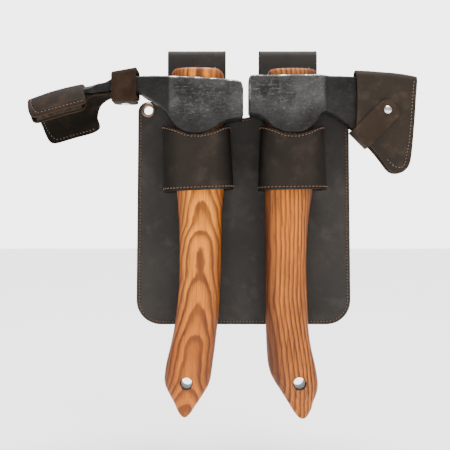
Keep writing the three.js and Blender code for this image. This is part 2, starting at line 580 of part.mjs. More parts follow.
function strapFlap() {
  // Seen along the fold, the strap is a hook: the bridge under the beard, then the tongue up the front
  const rows = [-halfStrap, 0, halfStrap].map((v) => {
    const depth = (u) => maskRoom(strapX(u, v)) + LEATHER + GAP;
    const back = TOOL_Y + depth(2) + STRAP.thick;
    const us = [2.2, 9, 16, 24, 32, 40.5, STRAP.length];
    const upper = [onStrap(0, v, back), onStrap(0, v, TOOL_Y), onStrap(0, v, TOOL_Y - depth(2) - 0.6),
      onStrap(0.9, v, TOOL_Y - depth(2) - 1.7),
      ...us.map((u) => onStrap(u, v, TOOL_Y - depth(u) - STRAP.thick))];
    const lower = [onStrap(STRAP.thick, v, back), onStrap(STRAP.thick, v, TOOL_Y),
      onStrap(STRAP.thick, v, TOOL_Y - depth(2) + 0.6), onStrap(STRAP.thick + 0.3, v, TOOL_Y - depth(2) + 0.1),
      ...us.map((u) => onStrap(Math.max(u, STRAP.thick + 0.9), v, TOOL_Y - depth(u)))];
    return [upper, lower];
  });
  const outline = [[-3, -halfStrap - 1], [STRAP.length - 9, -halfStrap], ...tongue.slice(2, 6),
    [STRAP.length - 9, halfStrap], [-3, halfStrap + 1]];
  const trim = prism(outline, TOOL_Y - 40, TOOL_Y + 40, onStrap);
  const deep = snapFace - 2 * STRAP.thick;
  const pocket = drill(snapAt[0], snapAt[2], SNAP.stud + 1, deep, snapFace + 2);
  return cut(common(loft(rows), trim), pocket);
}

add("axe_mask_shell", maskShell(), finish.cover);
add("axe_mask_welt", common(prism(MASK_WELT, TOOL_Y - 9, TOOL_Y + 9), taperedSlab(100, 178, -110, 6, -GAP)),
  finish.welt);
add("axe_mask_strap", strapFlap(), finish.cover);
const baseOutline = [[3.1, -halfStrap], [STRAP.base - 4, -halfStrap], [STRAP.base, -halfStrap + 4],
  [STRAP.base, halfStrap - 4], [STRAP.base - 4, halfStrap], [3.1, halfStrap]];
const rivetSpots = [[20, -5], [20, 5]].map(([u, v]) => onStrap(u, v, 0));
const rivetFace = ([x]) => TOOL_Y + maskRoom(x) + LEATHER + GAP + STRAP.thick;
add("axe_mask_strap_base", strapLayer(baseOutline, GAP, GAP + STRAP.thick, 1), finish.cover);
rivetSpots.forEach((spot, i) => {
  const face = rivetFace(spot) + 0.35;
  add(`axe_mask_rivet_${i + 1}`, turned([[0, face], [3.4, face], [3.4, face + 0.5], [2.4, face + 1.2],
    [0, face + 1.6]], spot[0], spot[2], 20), finish.nickel);
});
const capFace = snapFace - GAP - STRAP.thick;
add("axe_mask_snap_cap", turned([[0, capFace - 0.35], [SNAP.cap, capFace - 0.35], [SNAP.cap, capFace - 0.9],
  [SNAP.cap - 0.9, capFace - 1.6], [SNAP.cap - 2.2, capFace - 2], [0, capFace - 2.1]],
  snapAt[0], snapAt[2]), finish.nickel);
add("axe_mask_snap_stud", turned([[0, snapFace - 0.25], [SNAP.stud, snapFace - 0.25],
  [SNAP.stud, snapFace - 1.2], [SNAP.stud - 0.5, snapFace - 1.5], [0, snapFace - 1.5]],
  snapAt[0], snapAt[2], 16), finish.nickel);

// ---- adze cover ----------------------------------------------------------------------------

const LEAF_POINTS = 12; // points down each wing
const leafUnder = LEATHER + COVER_ROOM;
const [coverEnd, coverEndCrown] = COVER_CROWN[COVER_CROWN.length - 1];
const crownAt = (x, depth) =>
  (x > coverEnd ? lookup([[coverEnd, coverEndCrown - leafUnder], ...COVER_UNDER], x) + leafUnder
    : lookup(COVER_CROWN, x)) - depth;

// Point of the cover: x at the crown, run from the crown along the outer surface, depth under it
function coverPoint(x, run, depth) {
  const turn = Math.min(Math.abs(run) / COVER_RADIUS, COVER_BEND);
  const straight = Math.max(Math.abs(run) - COVER_RADIUS * COVER_BEND, 0);
  const r = COVER_RADIUS - depth;
  const y = Math.sign(run) * (r * Math.sin(turn) + straight * Math.cos(COVER_BEND));
  const down = r * (1 - Math.cos(turn)) + straight * Math.sin(COVER_BEND);
  const lean = down + Math.min(depth, leafUnder) * (x > coverEnd ? 0.4 : 1);
  return [x + BLADE_PITCH * lean, TOOL_Y + y, crownAt(x, depth) - down - twistAt(x) * y];
}
// Layer of the cover between two depths; rows are [x, near wing's length, far wing's length]
const layer = (rows, from, to) => loft(rows.map(([x, near, far]) =>
  [from, to].map((depth) => Array.from({ length: 2 * LEAF_POINTS + 1 }, (_, i) => {
    const share = i / LEAF_POINTS - 1;
    return coverPoint(x, share * (share < 0 ? near : far), depth);
  }))));

add("adze_cover_outer", layer([...COVER_WINGS, ...OUTER_END], 0, LEATHER), finish.cover);
add("adze_cover_inner", layer([...COVER_WINGS, ...NECK_LEAF], leafUnder, leafUnder + LEATHER),
  finish.lining);

// Welt: fills the space between the leaves past the blade, along both wings and round the tip
const weltDepth = [LEATHER + GAP, leafUnder - GAP];
const weltInner = 31.6; // where the welt starts, just past the blade's wings
function weltBand(sign) {
  return loft(COVER_WINGS.slice(4).map(([x, near, far]) => weltDepth.map((depth) =>
    [0, 0.35, 0.7, 1].map((share) =>
      coverPoint(x, sign * lerp(weltInner, (sign < 0 ? near : far) - 0.8, share), depth)))));
}
add("adze_cover_welt_near", weltBand(-1), finish.welt);
add("adze_cover_welt_far", weltBand(1), finish.welt);
add("adze_cover_welt_tip", layer([[-211.2, 31, 31], [-208.4, 31, 31], [-204, 31, 31]], ...weltDepth),
  finish.welt);

// Keeper: a band round the neck and its leaf, closed underneath by a flap with a snap
const keeperMiddle = (KEEPER.x[0] + KEEPER.x[1]) / 2;
function keeperSection(x, end) {
  const { half, bottom } = KEEPER;
  const top = KEEPER.top[end];
  const line = (inset) => {
    const [w, high, low] = [half - inset, top - inset, bottom + inset];
    const r = Math.max(4 - inset, 1.2);
    return [
      [-w, low], ...arc(-w + r, high - r, r, 180, 90, 4), ...arc(w - r, high - r, r, 90, 0, 4),
      ...arc(w - r, low + r, r, 0, -90, 4), [-half + LEATHER + 1.6, low],
    ].map(([y, z]) => [x, TOOL_Y + y, z]);
  };
  return [line(0), line(LEATHER)];
}
add("adze_keeper_band", loft(KEEPER.x.map(keeperSection)), finish.cover);

const flapTop = KEEPER.bottom - KEEPER.drop;
const flapFoot = flapTop - LEATHER;
function flapSection(x) {
  const { half, bottom, reach } = KEEPER;
  const start = bottom - GAP;
  const outer = [[-half, start], ...arc(-half + 2.4, flapFoot + 2.4, 2.4, 180, 270, 4), [0, flapFoot],
    [reach, flapFoot]];
  const inner = [[-half + LEATHER, start], ...arc(-half + LEATHER + 0.8, flapTop + 0.8, 0.8, 180, 270, 4),
    [0, flapTop], [reach, flapTop]];
  return [outer, inner].map((line) => line.map(([y, z]) => [x, TOOL_Y + y, z]));
}
const [flapLeft, flapRight] = KEEPER.x;
const flapTongue = [[flapLeft, -20], [flapRight, -20], [flapRight, KEEPER.reach - 6],
  [flapRight - 3, KEEPER.reach - 1.6], [flapRight - 7, KEEPER.reach], [flapLeft + 7, KEEPER.reach],
  [flapLeft + 3, KEEPER.reach - 1.6], [flapLeft, KEEPER.reach - 6]];
add("adze_keeper_flap", common(
  loft(KEEPER.x.map(flapSection)),
  prism(flapTongue, -60, 0, (u, v, depth) => [u, TOOL_Y + v, depth]),
), finish.cover);
const upright = (profile, sides) =>
  turned(profile, 0, 0, sides).rotateX(-Math.PI / 2).translate(keeperMiddle, TOOL_Y + KEEPER_SNAP.y, 0);
const snapRoom = KEEPER.bottom - flapTop;
add("adze_keeper_snap_stud", upright([[0, -KEEPER.bottom + 0.15], [KEEPER_SNAP.stud, -KEEPER.bottom + 0.15],
  [KEEPER_SNAP.stud, -KEEPER.bottom + snapRoom * 0.5 - 0.1], [0, -KEEPER.bottom + snapRoom * 0.5 - 0.1]], 20),
finish.nickel);
add("adze_keeper_snap_socket", upright([[0, -flapTop - 0.1], [KEEPER_SNAP.stud + 0.2, -flapTop - 0.1],
  [KEEPER_SNAP.stud + 0.2, -flapTop - snapRoom * 0.5 + 0.1], [0, -flapTop - snapRoom * 0.5 + 0.1]], 20),
finish.nickel);
add("adze_keeper_snap_cap", upright([[0, -flapFoot + 0.1], [KEEPER_SNAP.cap, -flapFoot + 0.1],
  [KEEPER_SNAP.cap, -flapFoot + 0.5], [KEEPER_SNAP.cap - 1, -flapFoot + 1.1], [0, -flapFoot + 1.4]], 24),
finish.nickel);

export default root;
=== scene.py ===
"""The finished look of the belt holster with its hatchet and adze. Lengths in the tables are millimetres."""
import json
import math

import bmesh
import bpy
import numpy as np
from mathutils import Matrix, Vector, noise
from mathutils.geometry import delaunay_2d_cdt


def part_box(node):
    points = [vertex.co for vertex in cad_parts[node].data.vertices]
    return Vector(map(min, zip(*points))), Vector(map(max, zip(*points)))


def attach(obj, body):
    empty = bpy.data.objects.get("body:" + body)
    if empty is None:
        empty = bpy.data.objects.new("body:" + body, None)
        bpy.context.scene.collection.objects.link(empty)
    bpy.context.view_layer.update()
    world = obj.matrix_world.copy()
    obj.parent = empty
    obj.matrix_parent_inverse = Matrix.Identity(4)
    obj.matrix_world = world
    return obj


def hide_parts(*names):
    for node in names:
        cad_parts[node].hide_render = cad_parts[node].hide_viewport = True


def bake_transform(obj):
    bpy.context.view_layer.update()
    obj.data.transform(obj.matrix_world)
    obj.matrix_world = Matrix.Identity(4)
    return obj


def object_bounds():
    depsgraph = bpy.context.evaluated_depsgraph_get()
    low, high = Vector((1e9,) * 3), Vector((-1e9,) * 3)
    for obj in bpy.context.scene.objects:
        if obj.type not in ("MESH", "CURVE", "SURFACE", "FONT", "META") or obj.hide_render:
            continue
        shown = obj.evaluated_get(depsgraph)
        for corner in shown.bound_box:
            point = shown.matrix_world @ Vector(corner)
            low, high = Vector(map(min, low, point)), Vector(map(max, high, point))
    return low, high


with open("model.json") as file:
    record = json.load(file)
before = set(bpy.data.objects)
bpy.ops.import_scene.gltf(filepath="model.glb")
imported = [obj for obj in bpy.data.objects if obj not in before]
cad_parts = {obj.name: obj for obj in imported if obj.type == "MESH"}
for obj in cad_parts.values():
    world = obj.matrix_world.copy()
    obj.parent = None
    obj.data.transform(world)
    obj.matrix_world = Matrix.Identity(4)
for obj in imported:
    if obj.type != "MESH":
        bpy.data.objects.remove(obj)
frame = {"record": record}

first_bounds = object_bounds()
MM = 0.001
BODY = {n: b for b, ns in frame["record"]["behaviour"]["bodies"].items() for n in ns}
rng = np.random.default_rng(7)


def mm(node):
    """Box of a CAD node in millimetres: lowest corner, highest corner."""
    low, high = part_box(node)
    return np.array(low) * 1000, np.array(high) * 1000


def centre_of(node):
    """Middle of a CAD node's box in millimetres."""
    return sum(mm(node)) / 2


TOOL_Y = centre_of("axe_handle")[1]  # the depth of the plane both tools stand in
LAYER = 2.4
SLEEVE_WALL = 2.6
STITCH_PITCH = 3.4  # on the covers; the holster's is a little closer
RIM_FADE = 1.3  # how far in from a cut edge its own colour reaches
GROOVE_DEPTH, GROOVE_WIDE = 0.35, 0.75  # of the pressed line the stitches lie in
STITCH_LENGTH, STITCH_SLANT = 2.5, 0.22
STITCH_SINK = 0.55  # how far a stitch's ends dive into the leather


# ---- curves and tables ---------------------------------------------------------------------


def table(rows, keys):
    """Rows [key, a, b, ...] read at many keys by a smooth curve that never overshoots."""
    rows = np.array([list(row) for row in rows], float)
    rows = rows[np.argsort(rows[:, 0])]
    x, y = rows[:, 0], rows[:, 1:]
    h = np.diff(x)[:, None]
    d = np.diff(y, axis=0) / h
    m = np.zeros_like(y)
    m[0], m[-1] = d[0], d[-1]
    w1, w2 = 2 * h[1:] + h[:-1], h[1:] + 2 * h[:-1]
    same = d[:-1] * d[1:] > 0
    safe = lambda v: np.where(np.abs(v) < 1e-12, 1e-12, v)
    m[1:-1] = np.where(same, (w1 + w2) / (w1 / safe(d[:-1]) + w2 / safe(d[1:])), 0)
    keys = np.clip(np.asarray(keys, float), x[0], x[-1])
    i = np.clip(np.searchsorted(x, keys, side="right") - 1, 0, len(x) - 2)
    t = ((keys - x[i]) / (x[i + 1] - x[i]))[:, None]
    hh = h[i]
    return ((2 * t**3 - 3 * t**2 + 1) * y[i] + (t**3 - 2 * t**2 + t) * hh * m[i]
            + (-2 * t**3 + 3 * t**2) * y[i + 1] + (t**3 - t**2) * hh * m[i + 1])


def resample(points, step, closed=False):
    """Points along a polyline at an even step."""
    p = np.asarray(points, float)
    if closed:
        p = np.vstack([p, p[:1]])
    seg = np.linalg.norm(np.diff(p, axis=0), axis=1)
    s = np.concatenate([[0], np.cumsum(seg)])
    n = max(int(round(s[-1] / step)), 2)
    t = np.linspace(0, s[-1], n + 1)
    if closed:
        t = t[:-1]
    return np.stack([np.interp(t, s, p[:, k]) for k in range(p.shape[1])], axis=1)


def soften(points, rounds, closed=True):
    """Corner-cutting, which turns a coarse outline into a smooth one."""
    p = np.asarray(points, float)
    for _ in range(rounds):
        q = np.roll(p, -1, axis=0)
        both = np.stack([0.75 * p + 0.25 * q, 0.25 * p + 0.75 * q], axis=1).reshape(-1, p.shape[1])
        p = both if closed else np.vstack([p[:1], both[:-2], p[-1:]])
    return p


def arc(x, z, r, a0, a1, n=10):
    t = np.radians(np.linspace(a0, a1, n + 1))
    return np.stack([x + r * np.cos(t), z + r * np.sin(t)], axis=1).tolist()


def inside(points, outline):
    """Which of many points lie inside a closed outline."""
    x, y = points[:, 0], points[:, 1]
    hit = np.zeros(len(points), bool)
    a, b = outline, np.roll(outline, -1, axis=0)
    for (x0, y0), (x1, y1) in zip(a, b):
        if y0 == y1:
            continue
        cross = (y0 > y) != (y1 > y)
        hit ^= cross & (x < (x1 - x0) * (y - y0) / (y1 - y0) + x0)
    return hit


def distance(points, line, closed=False):
    """Distance of many points from a polyline."""
    a = np.asarray(line, float)
    b = np.roll(a, -1, axis=0) if closed else a[1:]
    a = a if closed else a[:-1]
    best = np.full(len(points), 1e9)
    for p, q in zip(a, b):
        d = q - p
        t = np.clip(((points - p) @ d) / max(d @ d, 1e-12), 0, 1)[:, None]
        best = np.minimum(best, np.linalg.norm(points - p - t * d, axis=1))
    return best


def shrink(outline, by):
    """Outline moved inwards; it runs anticlockwise."""
    p = np.asarray(outline, float)
    d = np.roll(p, -1, axis=0) - np.roll(p, 1, axis=0)
    d /= np.maximum(np.linalg.norm(d, axis=1), 1e-9)[:, None]
    return p + by * np.stack([-d[:, 1], d[:, 0]], axis=1)


def anticlockwise(outline):
    p = np.asarray(outline, float)
    q = np.roll(p, -1, axis=0)
    return p if np.sum(p[:, 0] * q[:, 1] - q[:, 0] * p[:, 1]) > 0 else p[::-1].copy()


# ---- meshes --------------------------------------------------------------------------------


def mesh_object(name, verts, faces, smooth=True, attributes=()):
    mesh = bpy.data.meshes.new(name)
    mesh.from_pydata((np.asarray(verts) * MM).tolist(), [], [list(map(int, f)) for f in faces])
    for key, values in attributes:
        mesh.attributes.new(key, "FLOAT", "POINT").data.foreach_set("value", np.asarray(values, np.float32))
    mesh.validate()
    mesh.polygons.foreach_set("use_smooth", [smooth] * len(mesh.polygons))
    obj = bpy.data.objects.new(name, mesh)
    bpy.context.scene.collection.objects.link(obj)
    return obj


def outward(obj):
    bm = bmesh.new()
    bm.from_mesh(obj.data)
    bmesh.ops.recalc_face_normals(bm, faces=bm.faces)
    bm.to_mesh(obj.data)
    bm.free()


def place(obj, look, node, *others):
    """obj gets its material, stands for these CAD nodes and rides where they do."""
    coat(obj, look)
    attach(obj, BODY[node])
    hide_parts(node, *others)
    return obj


def ring_faces(rows, around, joined=False, base=0):
    """Quads between rings of equally many points; joined closes the last ring on the first."""
    faces = []
    for k in range(rows if joined else rows - 1):
        here, there = base + k * around, base + (k + 1) % rows * around
        for i in range(around):
            j = (i + 1) % around
            faces.append((here + i, here + j, there + j, there + i))
    return faces


def grid_solid(name, rings, attributes=(), cap=True):
    """Closed skin through rings of equally many points, with the ends closed by fans."""
    rings = np.asarray(rings, float)
    n, m = rings.shape[:2]
    verts, faces = rings.reshape(-1, 3), ring_faces(n, m)
    if cap:
        for s in (0, n - 1):
            centre = len(verts)
            verts = np.vstack([verts, rings[s].mean(0)[None]])
            for i in range(m):
                j = (i + 1) % m
                faces.append((s * m + i, s * m + j, centre))
    obj = mesh_object(name, verts, faces, True, attributes)
    outward(obj)
    return obj


def leather(name, outline, to_space, thick, step, holes=(), grooves=(), edge=0.8):
    """A leather piece cut to a flat outline with rounded edges. to_space(u, v, w) puts a point in the frame,
    w being its height over the middle of the leather. grooves are the stitch lines, in the flat."""
    outline = anticlockwise(resample(outline, step * 0.75, closed=True))
    holes = [anticlockwise(h) for h in holes]
    insets = [0, 0.12 * edge, 0.42 * edge, edge, edge + 1.3]
    loops = [outline] + [shrink(outline, d) for d in insets[1:]]
    loops += [shrink(h, -d) for h in holes for d in insets[:4]]
    low, high = outline.min(0), outline.max(0)
    xs = np.arange(low[0] + step / 2, high[0], step)
    ys = np.arange(low[1] + step / 2, high[1], step)
    gx, gy = np.meshgrid(xs, ys)
    gx = gx + np.where(np.arange(len(ys))[:, None] % 2, step / 2, 0)
    grid = np.stack([gx.ravel(), gy.ravel()], axis=1)
    extra = [grid]
    for g in grooves:
        g = resample(g, 1.6)
        t = np.gradient(g, axis=0)
        t /= np.maximum(np.linalg.norm(t, axis=1), 1e-9)[:, None]
        nrm = np.stack([-t[:, 1], t[:, 0]], axis=1)
        for off in (-1.1, -0.5, 0, 0.5, 1.1):
            extra.append(g + off * nrm)
    free = np.vstack(extra)
    keep = inside(free, outline) & (distance(free, outline, True) > edge + 1.0)
    for h in holes:
        keep &= ~inside(free, h) & (distance(free, h, True) > edge + 0.3)
    free = free[keep]
    points, edges = [], []
    for k, loop in enumerate(loops):
        base = len(points)
        points += loop.tolist()
        if k == 0 or (k >= len(insets) and (k - len(insets)) % 4 == 0):
            edges += [(base + i, base + (i + 1) % len(loop)) for i in range(len(loop))]
    points += free.tolist()
    out, _, tris, *_ = delaunay_2d_cdt([Vector(p) for p in points], edges, [], 0, 1e-4)
    flat = np.array([list(p) for p in out], float)
    tris = np.array([t for t in tris if len(t) == 3])
    centre = flat[tris].mean(1)
    good = inside(centre, outline)
    for h in holes:
        good &= ~inside(centre, h)
    tris = tris[good]
    rim = distance(flat, outline, True)
    for h in holes:
        rim = np.minimum(rim, distance(flat, h, True))
    lift = np.sqrt(np.clip(1 - (1 - np.clip(rim / edge, 0, 1)) ** 2, 0, 1))
    half = thick / 2
    height = half - edge + edge * lift if half > edge else half * lift
    groove = np.zeros(len(flat))
    for g in grooves:
        groove = np.maximum(groove, np.exp(-((distance(flat, g) / GROOVE_WIDE) ** 2)))
    top = to_space(flat[:, 0], flat[:, 1], height - GROOVE_DEPTH * groove)
    bottom = to_space(flat[:, 0], flat[:, 1], -height)
    n = len(flat)
    faces = [tuple(t) for t in tris] + [tuple(n + t[::-1]) for t in tris]
    count = {}
    for t in tris:
        for a, b in ((t[0], t[1]), (t[1], t[2]), (t[2], t[0])):
            count[(a, b)] = count.get((a, b), 0) + 1
    for a, b in count:
        if (b, a) not in count:
            faces.append((b, a, n + a, n + b))
    near = np.exp(-rim / RIM_FADE)
    obj = mesh_object(name, np.vstack([top, bottom]), faces, True, [
        ("groove", np.concatenate([groove, groove * 0])),
        ("rim", np.concatenate([near, near])),
    ])
    outward(obj)
    return obj


thread_parts = {}


def stitches(line, to_space, body, height, pitch=3.3, radius=0.42, tone="dark"):
    """Saddle stitches along a flat line, each one a short slanted bead of thread lying in its groove."""
    line = np.asarray(line, float)
    seg = np.linalg.norm(np.diff(line, axis=0), axis=1)
    total = seg.sum()
    n = max(int(total / pitch), 1)
    spots = resample(line, total / n)
    centres = (spots[1:] + spots[:-1]) / 2
    run = spots[1:] - spots[:-1]
    run /= np.linalg.norm(run, axis=1)[:, None]
    side = np.stack([-run[:, 1], run[:, 0]], axis=1)
    lengthwise = run + STITCH_SLANT * side
    lengthwise /= np.linalg.norm(lengthwise, axis=1)[:, None]
    cross = np.stack([-lengthwise[:, 1], lengthwise[:, 0]], axis=1)
    ts = np.linspace(-1, 1, 7)
    around = np.radians(np.arange(6) * 60 + 30)
    verts, faces = [], []
    for c, l, x in zip(centres, lengthwise, cross):
        base = len(verts)
        jitter = 1 + rng.uniform(-0.08, 0.08)
        for t in ts:
            r = radius * (math.sqrt(max(1 - t**4, 0.02)))
            sink = -STITCH_SINK * abs(t) ** 3
            for a in around:
                uv = c + l * (t * STITCH_LENGTH * 0.5 * jitter) + x * (r * math.cos(a))
                verts.append((uv[0], uv[1], height + sink + r * 0.9 * math.sin(a)))
        faces += ring_faces(len(ts), 6, base=base)
        faces.append(tuple(base + i for i in range(6))[::-1])
        faces.append(tuple(base + (len(ts) - 1) * 6 + i for i in range(6)))
    v = np.array(verts)
    thread_parts.setdefault((body, tone), []).append((to_space(v[:, 0], v[:, 1], v[:, 2]), faces))


def finish_threads():
    for (body, tone), parts in thread_parts.items():
        verts, faces, base = [], [], 0
        for v, f in parts:
            verts.append(v)
            faces += [tuple(i + base for i in face) for face in f]
            base += len(v)
        obj = mesh_object(f"thread_{body}_{tone}", np.vstack(verts), faces)
        outward(obj)
        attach(obj, body)
        obj.data.materials.append(material[f"thread_{tone}"])


# ---- materials -----------------------------------------------------------------------------

material = {}


def opaque(colour):
    """A colour of three numbers gets its fourth; a socket stays as it is."""
    return (*colour, 1) if isinstance(colour, tuple) and len(colour) == 3 else colour


class Nodes:
    """A small helper that builds one material's node tree."""

    def __init__(self, name):
        self.mat = bpy.data.materials.new(name)
        self.mat.use_nodes = True
        self.tree = self.mat.node_tree
        self.tree.nodes.clear()
        self.shader = self.new("ShaderNodeBsdfPrincipled")
        out = self.new("ShaderNodeOutputMaterial")
        self.link(self.shader.outputs[0], out.inputs["Surface"])
        self.coord = self.new("ShaderNodeTexCoord").outputs["Object"]
        material[name] = self.mat

    def new(self, kind, **settings):
        node = self.tree.nodes.new(kind)
        for key, value in settings.items():
            setattr(node, key, value)
        return node

    def link(self, a, b):
        self.tree.links.new(a, b)

    def put(self, socket, value):
        if isinstance(value, bpy.types.NodeSocket):
            self.link(value, socket)
        else:
            socket.default_value = value

    def attribute(self, name):
        return self.new("ShaderNodeAttribute", attribute_name=name).outputs["Fac"]

    def noise(self, scale, detail=4, rough=0.55, vector=None, distort=0.0):
        n = self.new("ShaderNodeTexNoise")
        self.put(n.inputs["Vector"], vector or self.coord)
        n.inputs["Scale"].default_value = scale
        n.inputs["Detail"].default_value = detail
        n.inputs["Roughness"].default_value = rough
        n.inputs["Distortion"].default_value = distort
        return n.outputs["Fac"]

    def cells(self, scale, vector=None, feature="F1", smooth=None):
        n = self.new("ShaderNodeTexVoronoi", feature=feature)
        self.put(n.inputs["Vector"], vector or self.coord)
        n.inputs["Scale"].default_value = scale
        if smooth is not None:
            n.inputs["Smoothness"].default_value = smooth
        return n.outputs["Distance"]

    def scaled(self, factors):
        n = self.new("ShaderNodeMapping")
        self.link(self.coord, n.inputs["Vector"])
        n.inputs["Scale"].default_value = factors
        return n.outputs[0]

    def math(self, operation, a, b=0.0, clamp=False):
        n = self.new("ShaderNodeMath", operation=operation, use_clamp=clamp)
        self.put(n.inputs[0], a)
        self.put(n.inputs[1], b)
        return n.outputs[0]

    def plus(self, a, b, clamp=False):
        return self.math("ADD", a, b, clamp)

    def minus(self, a, b, clamp=False):
        return self.math("SUBTRACT", a, b, clamp)

    def times(self, a, b):
        return self.math("MULTIPLY", a, b)

    def ramp(self, value, stops):
        """Greys at places along a value."""
        n = self.new("ShaderNodeValToRGB")
        while len(n.color_ramp.elements) < len(stops):
            n.color_ramp.elements.new(0.5)
        for e, (at, grey) in zip(n.color_ramp.elements, stops):
            e.position = at
            e.color = (grey, grey, grey, 1)
        self.put(n.inputs[0], value)
        return n.outputs[0]

    def span(self, value, a0, a1, b0, b1):
        n = self.new("ShaderNodeMapRange", clamp=True)
        self.put(n.inputs["Value"], value)
        for key, v in (("From Min", a0), ("From Max", a1), ("To Min", b0), ("To Max", b1)):
            n.inputs[key].default_value = v
        return n.outputs[0]

    def mix(self, factor, a, b, blend="MIX"):
        n = self.new("ShaderNodeMix", data_type="RGBA", blend_type=blend)
        self.put(n.inputs[0], factor)
        self.put(n.inputs[6], opaque(a))
        self.put(n.inputs[7], opaque(b))
        return n.outputs[2]

    def bump(self, height, strength, distance, below=None):
        n = self.new("ShaderNodeBump")
        self.put(n.inputs["Height"], height)
        n.inputs["Strength"].default_value = strength
        n.inputs["Distance"].default_value = distance
        if below is not None:
            self.link(below, n.inputs["Normal"])
        return n.outputs[0]

    def finish(self, colour, rough, normal=None, metal=0.0, spec=0.5, sheen=0.0):
        s = self.shader.inputs
        self.put(s["Base Color"], opaque(colour))
        self.put(s["Roughness"], rough)
        self.put(s["Metallic"], metal)
        s["Specular IOR Level"].default_value = spec
        s["Sheen Weight"].default_value = sheen
        s["Sheen Roughness"].default_value = 0.6
        if normal is not None:
            self.link(normal, s["Normal"])


def leather_material(name, dark, mid, light, edge, rough, spec, scuff=0.35):
    n = Nodes(name)
    cloud = n.noise(14, 5, 0.6)
    mottle = n.noise(60, 4, 0.6)
    colour = n.mix(n.span(cloud, 0.3, 0.7, 0, 1), dark, mid)
    colour = n.mix(n.span(mottle, 0.5, 0.72, 0, 0.7), colour, light)
    pores = n.cells(1500)
    creases = n.cells(700, vector=n.mix(0.06, n.coord, n.new("ShaderNodeTexNoise").outputs["Color"]),
                      feature="DISTANCE_TO_EDGE")
    colour = n.mix(n.span(pores, 0.0, 0.35, 0.35, 0.0), colour, tuple(c * 0.45 for c in dark))
    scratch = n.noise(90, 6, 0.75, vector=n.scaled((1, 1, 0.12)))
    rubs = n.times(n.span(scratch, 0.6, 0.76, 0, 1), n.span(cloud, 0.42, 0.62, 0, scuff))
    colour = n.mix(rubs, colour, light)
    rim = n.attribute("rim")
    colour = n.mix(n.span(rim, 0.62, 0.98, 0, 0.85), colour, edge)
    groove = n.attribute("groove")
    colour = n.mix(n.span(groove, 0.1, 0.9, 0, 0.6), colour, tuple(c * 0.5 for c in dark))
    # Painted shade: a sleeve's sides, where the tube turns away from the front, are painted darker
    side_shade = n.times(n.attribute("side_shade"), n.span(cloud, 0.25, 0.75, 0.95, 0.7))
    colour = n.mix(side_shade, colour, tuple(c * 0.22 for c in dark))
    shine = n.span(n.plus(cloud, n.times(mottle, 0.4)), 0.45, 0.9, rough[0], rough[1])
    shine = n.plus(shine, n.times(rim, 0.12), clamp=True)
    normal = n.bump(n.noise(22, 3, 0.5), 0.25, 0.002)
    normal = n.bump(creases, 0.28, 0.00035, normal)
    normal = n.bump(n.noise(2600, 2, 0.5), 0.2, 0.00018, normal)
    n.finish(colour, shine, normal, spec=spec)


leather_material("holster_leather", (0.0270, 0.0240, 0.0216), (0.0410, 0.0366, 0.0328),
                 (0.054, 0.0475, 0.042), (0.036, 0.026, 0.019), rough=(0.56, 0.76), spec=0.1)
leather_material("sleeve_leather", (0.0160, 0.0126, 0.0098), (0.0275, 0.0216, 0.0168),
                 (0.046, 0.034, 0.025), (0.034, 0.022, 0.015), rough=(0.5, 0.7), spec=0.07)
leather_material("cover_leather", (0.0220, 0.0180, 0.0150), (0.0380, 0.0270, 0.0190),
                 (0.062, 0.0420, 0.029), (0.050, 0.029, 0.017), rough=(0.55, 0.75), spec=0.05)
leather_material("strap_leather", (0.0250, 0.0172, 0.0125), (0.0470, 0.0320, 0.0232),
                 (0.072, 0.0490, 0.0350), (0.046, 0.026, 0.015), rough=(0.6, 0.8), spec=0.03)
leather_material("keeper_leather", (0.0165, 0.0098, 0.0062), (0.0320, 0.0190, 0.0120),
                 (0.050, 0.0300, 0.0190), (0.040, 0.022, 0.012), rough=(0.6, 0.8), spec=0.03)
leather_material("adze_cover_leather", (0.0085, 0.0050, 0.0030), (0.0150, 0.0088, 0.0053),
                 (0.036, 0.021, 0.0125), (0.034, 0.019, 0.011), rough=(0.6, 0.8), spec=0.1)
leather_material("lining_leather", (0.0290, 0.0240, 0.0205), (0.0370, 0.0305, 0.0258),
                 (0.048, 0.0395, 0.033), (0.050, 0.036, 0.026), rough=(0.65, 0.85), scuff=0.2, spec=0.05)
# The adze cover's inner leaf: dark leather painted darker still as painted shade, for the far wing that lies
# in the near wing's shadow
leather_material("cover_inside_shaded", (0.0045, 0.0036, 0.0028), (0.0085, 0.0066, 0.0050),
                 (0.018, 0.013, 0.0095), (0.030, 0.019, 0.012), rough=(0.8, 0.95), scuff=0.1, spec=0.03)


def welt_material():
    n = Nodes("welt_leather")
    layers = n.noise(40, 3, 0.6, vector=n.scaled((1, 30, 1)))
    fibre = n.noise(1200, 4, 0.7)
    colour = n.mix(n.span(layers, 0.35, 0.65, 0, 1), (0.008, 0.006, 0.0048), (0.024, 0.0175, 0.0135))
    nap = n.noise(240, 4, 0.7)
    colour = n.mix(n.span(nap, 0.46, 0.64, 0, 0.8), colour, (0.044, 0.034, 0.028))
    n.finish(colour, 0.9, n.bump(fibre, 0.4, 0.0003, n.bump(nap, 0.5, 0.001)), spec=0.03)


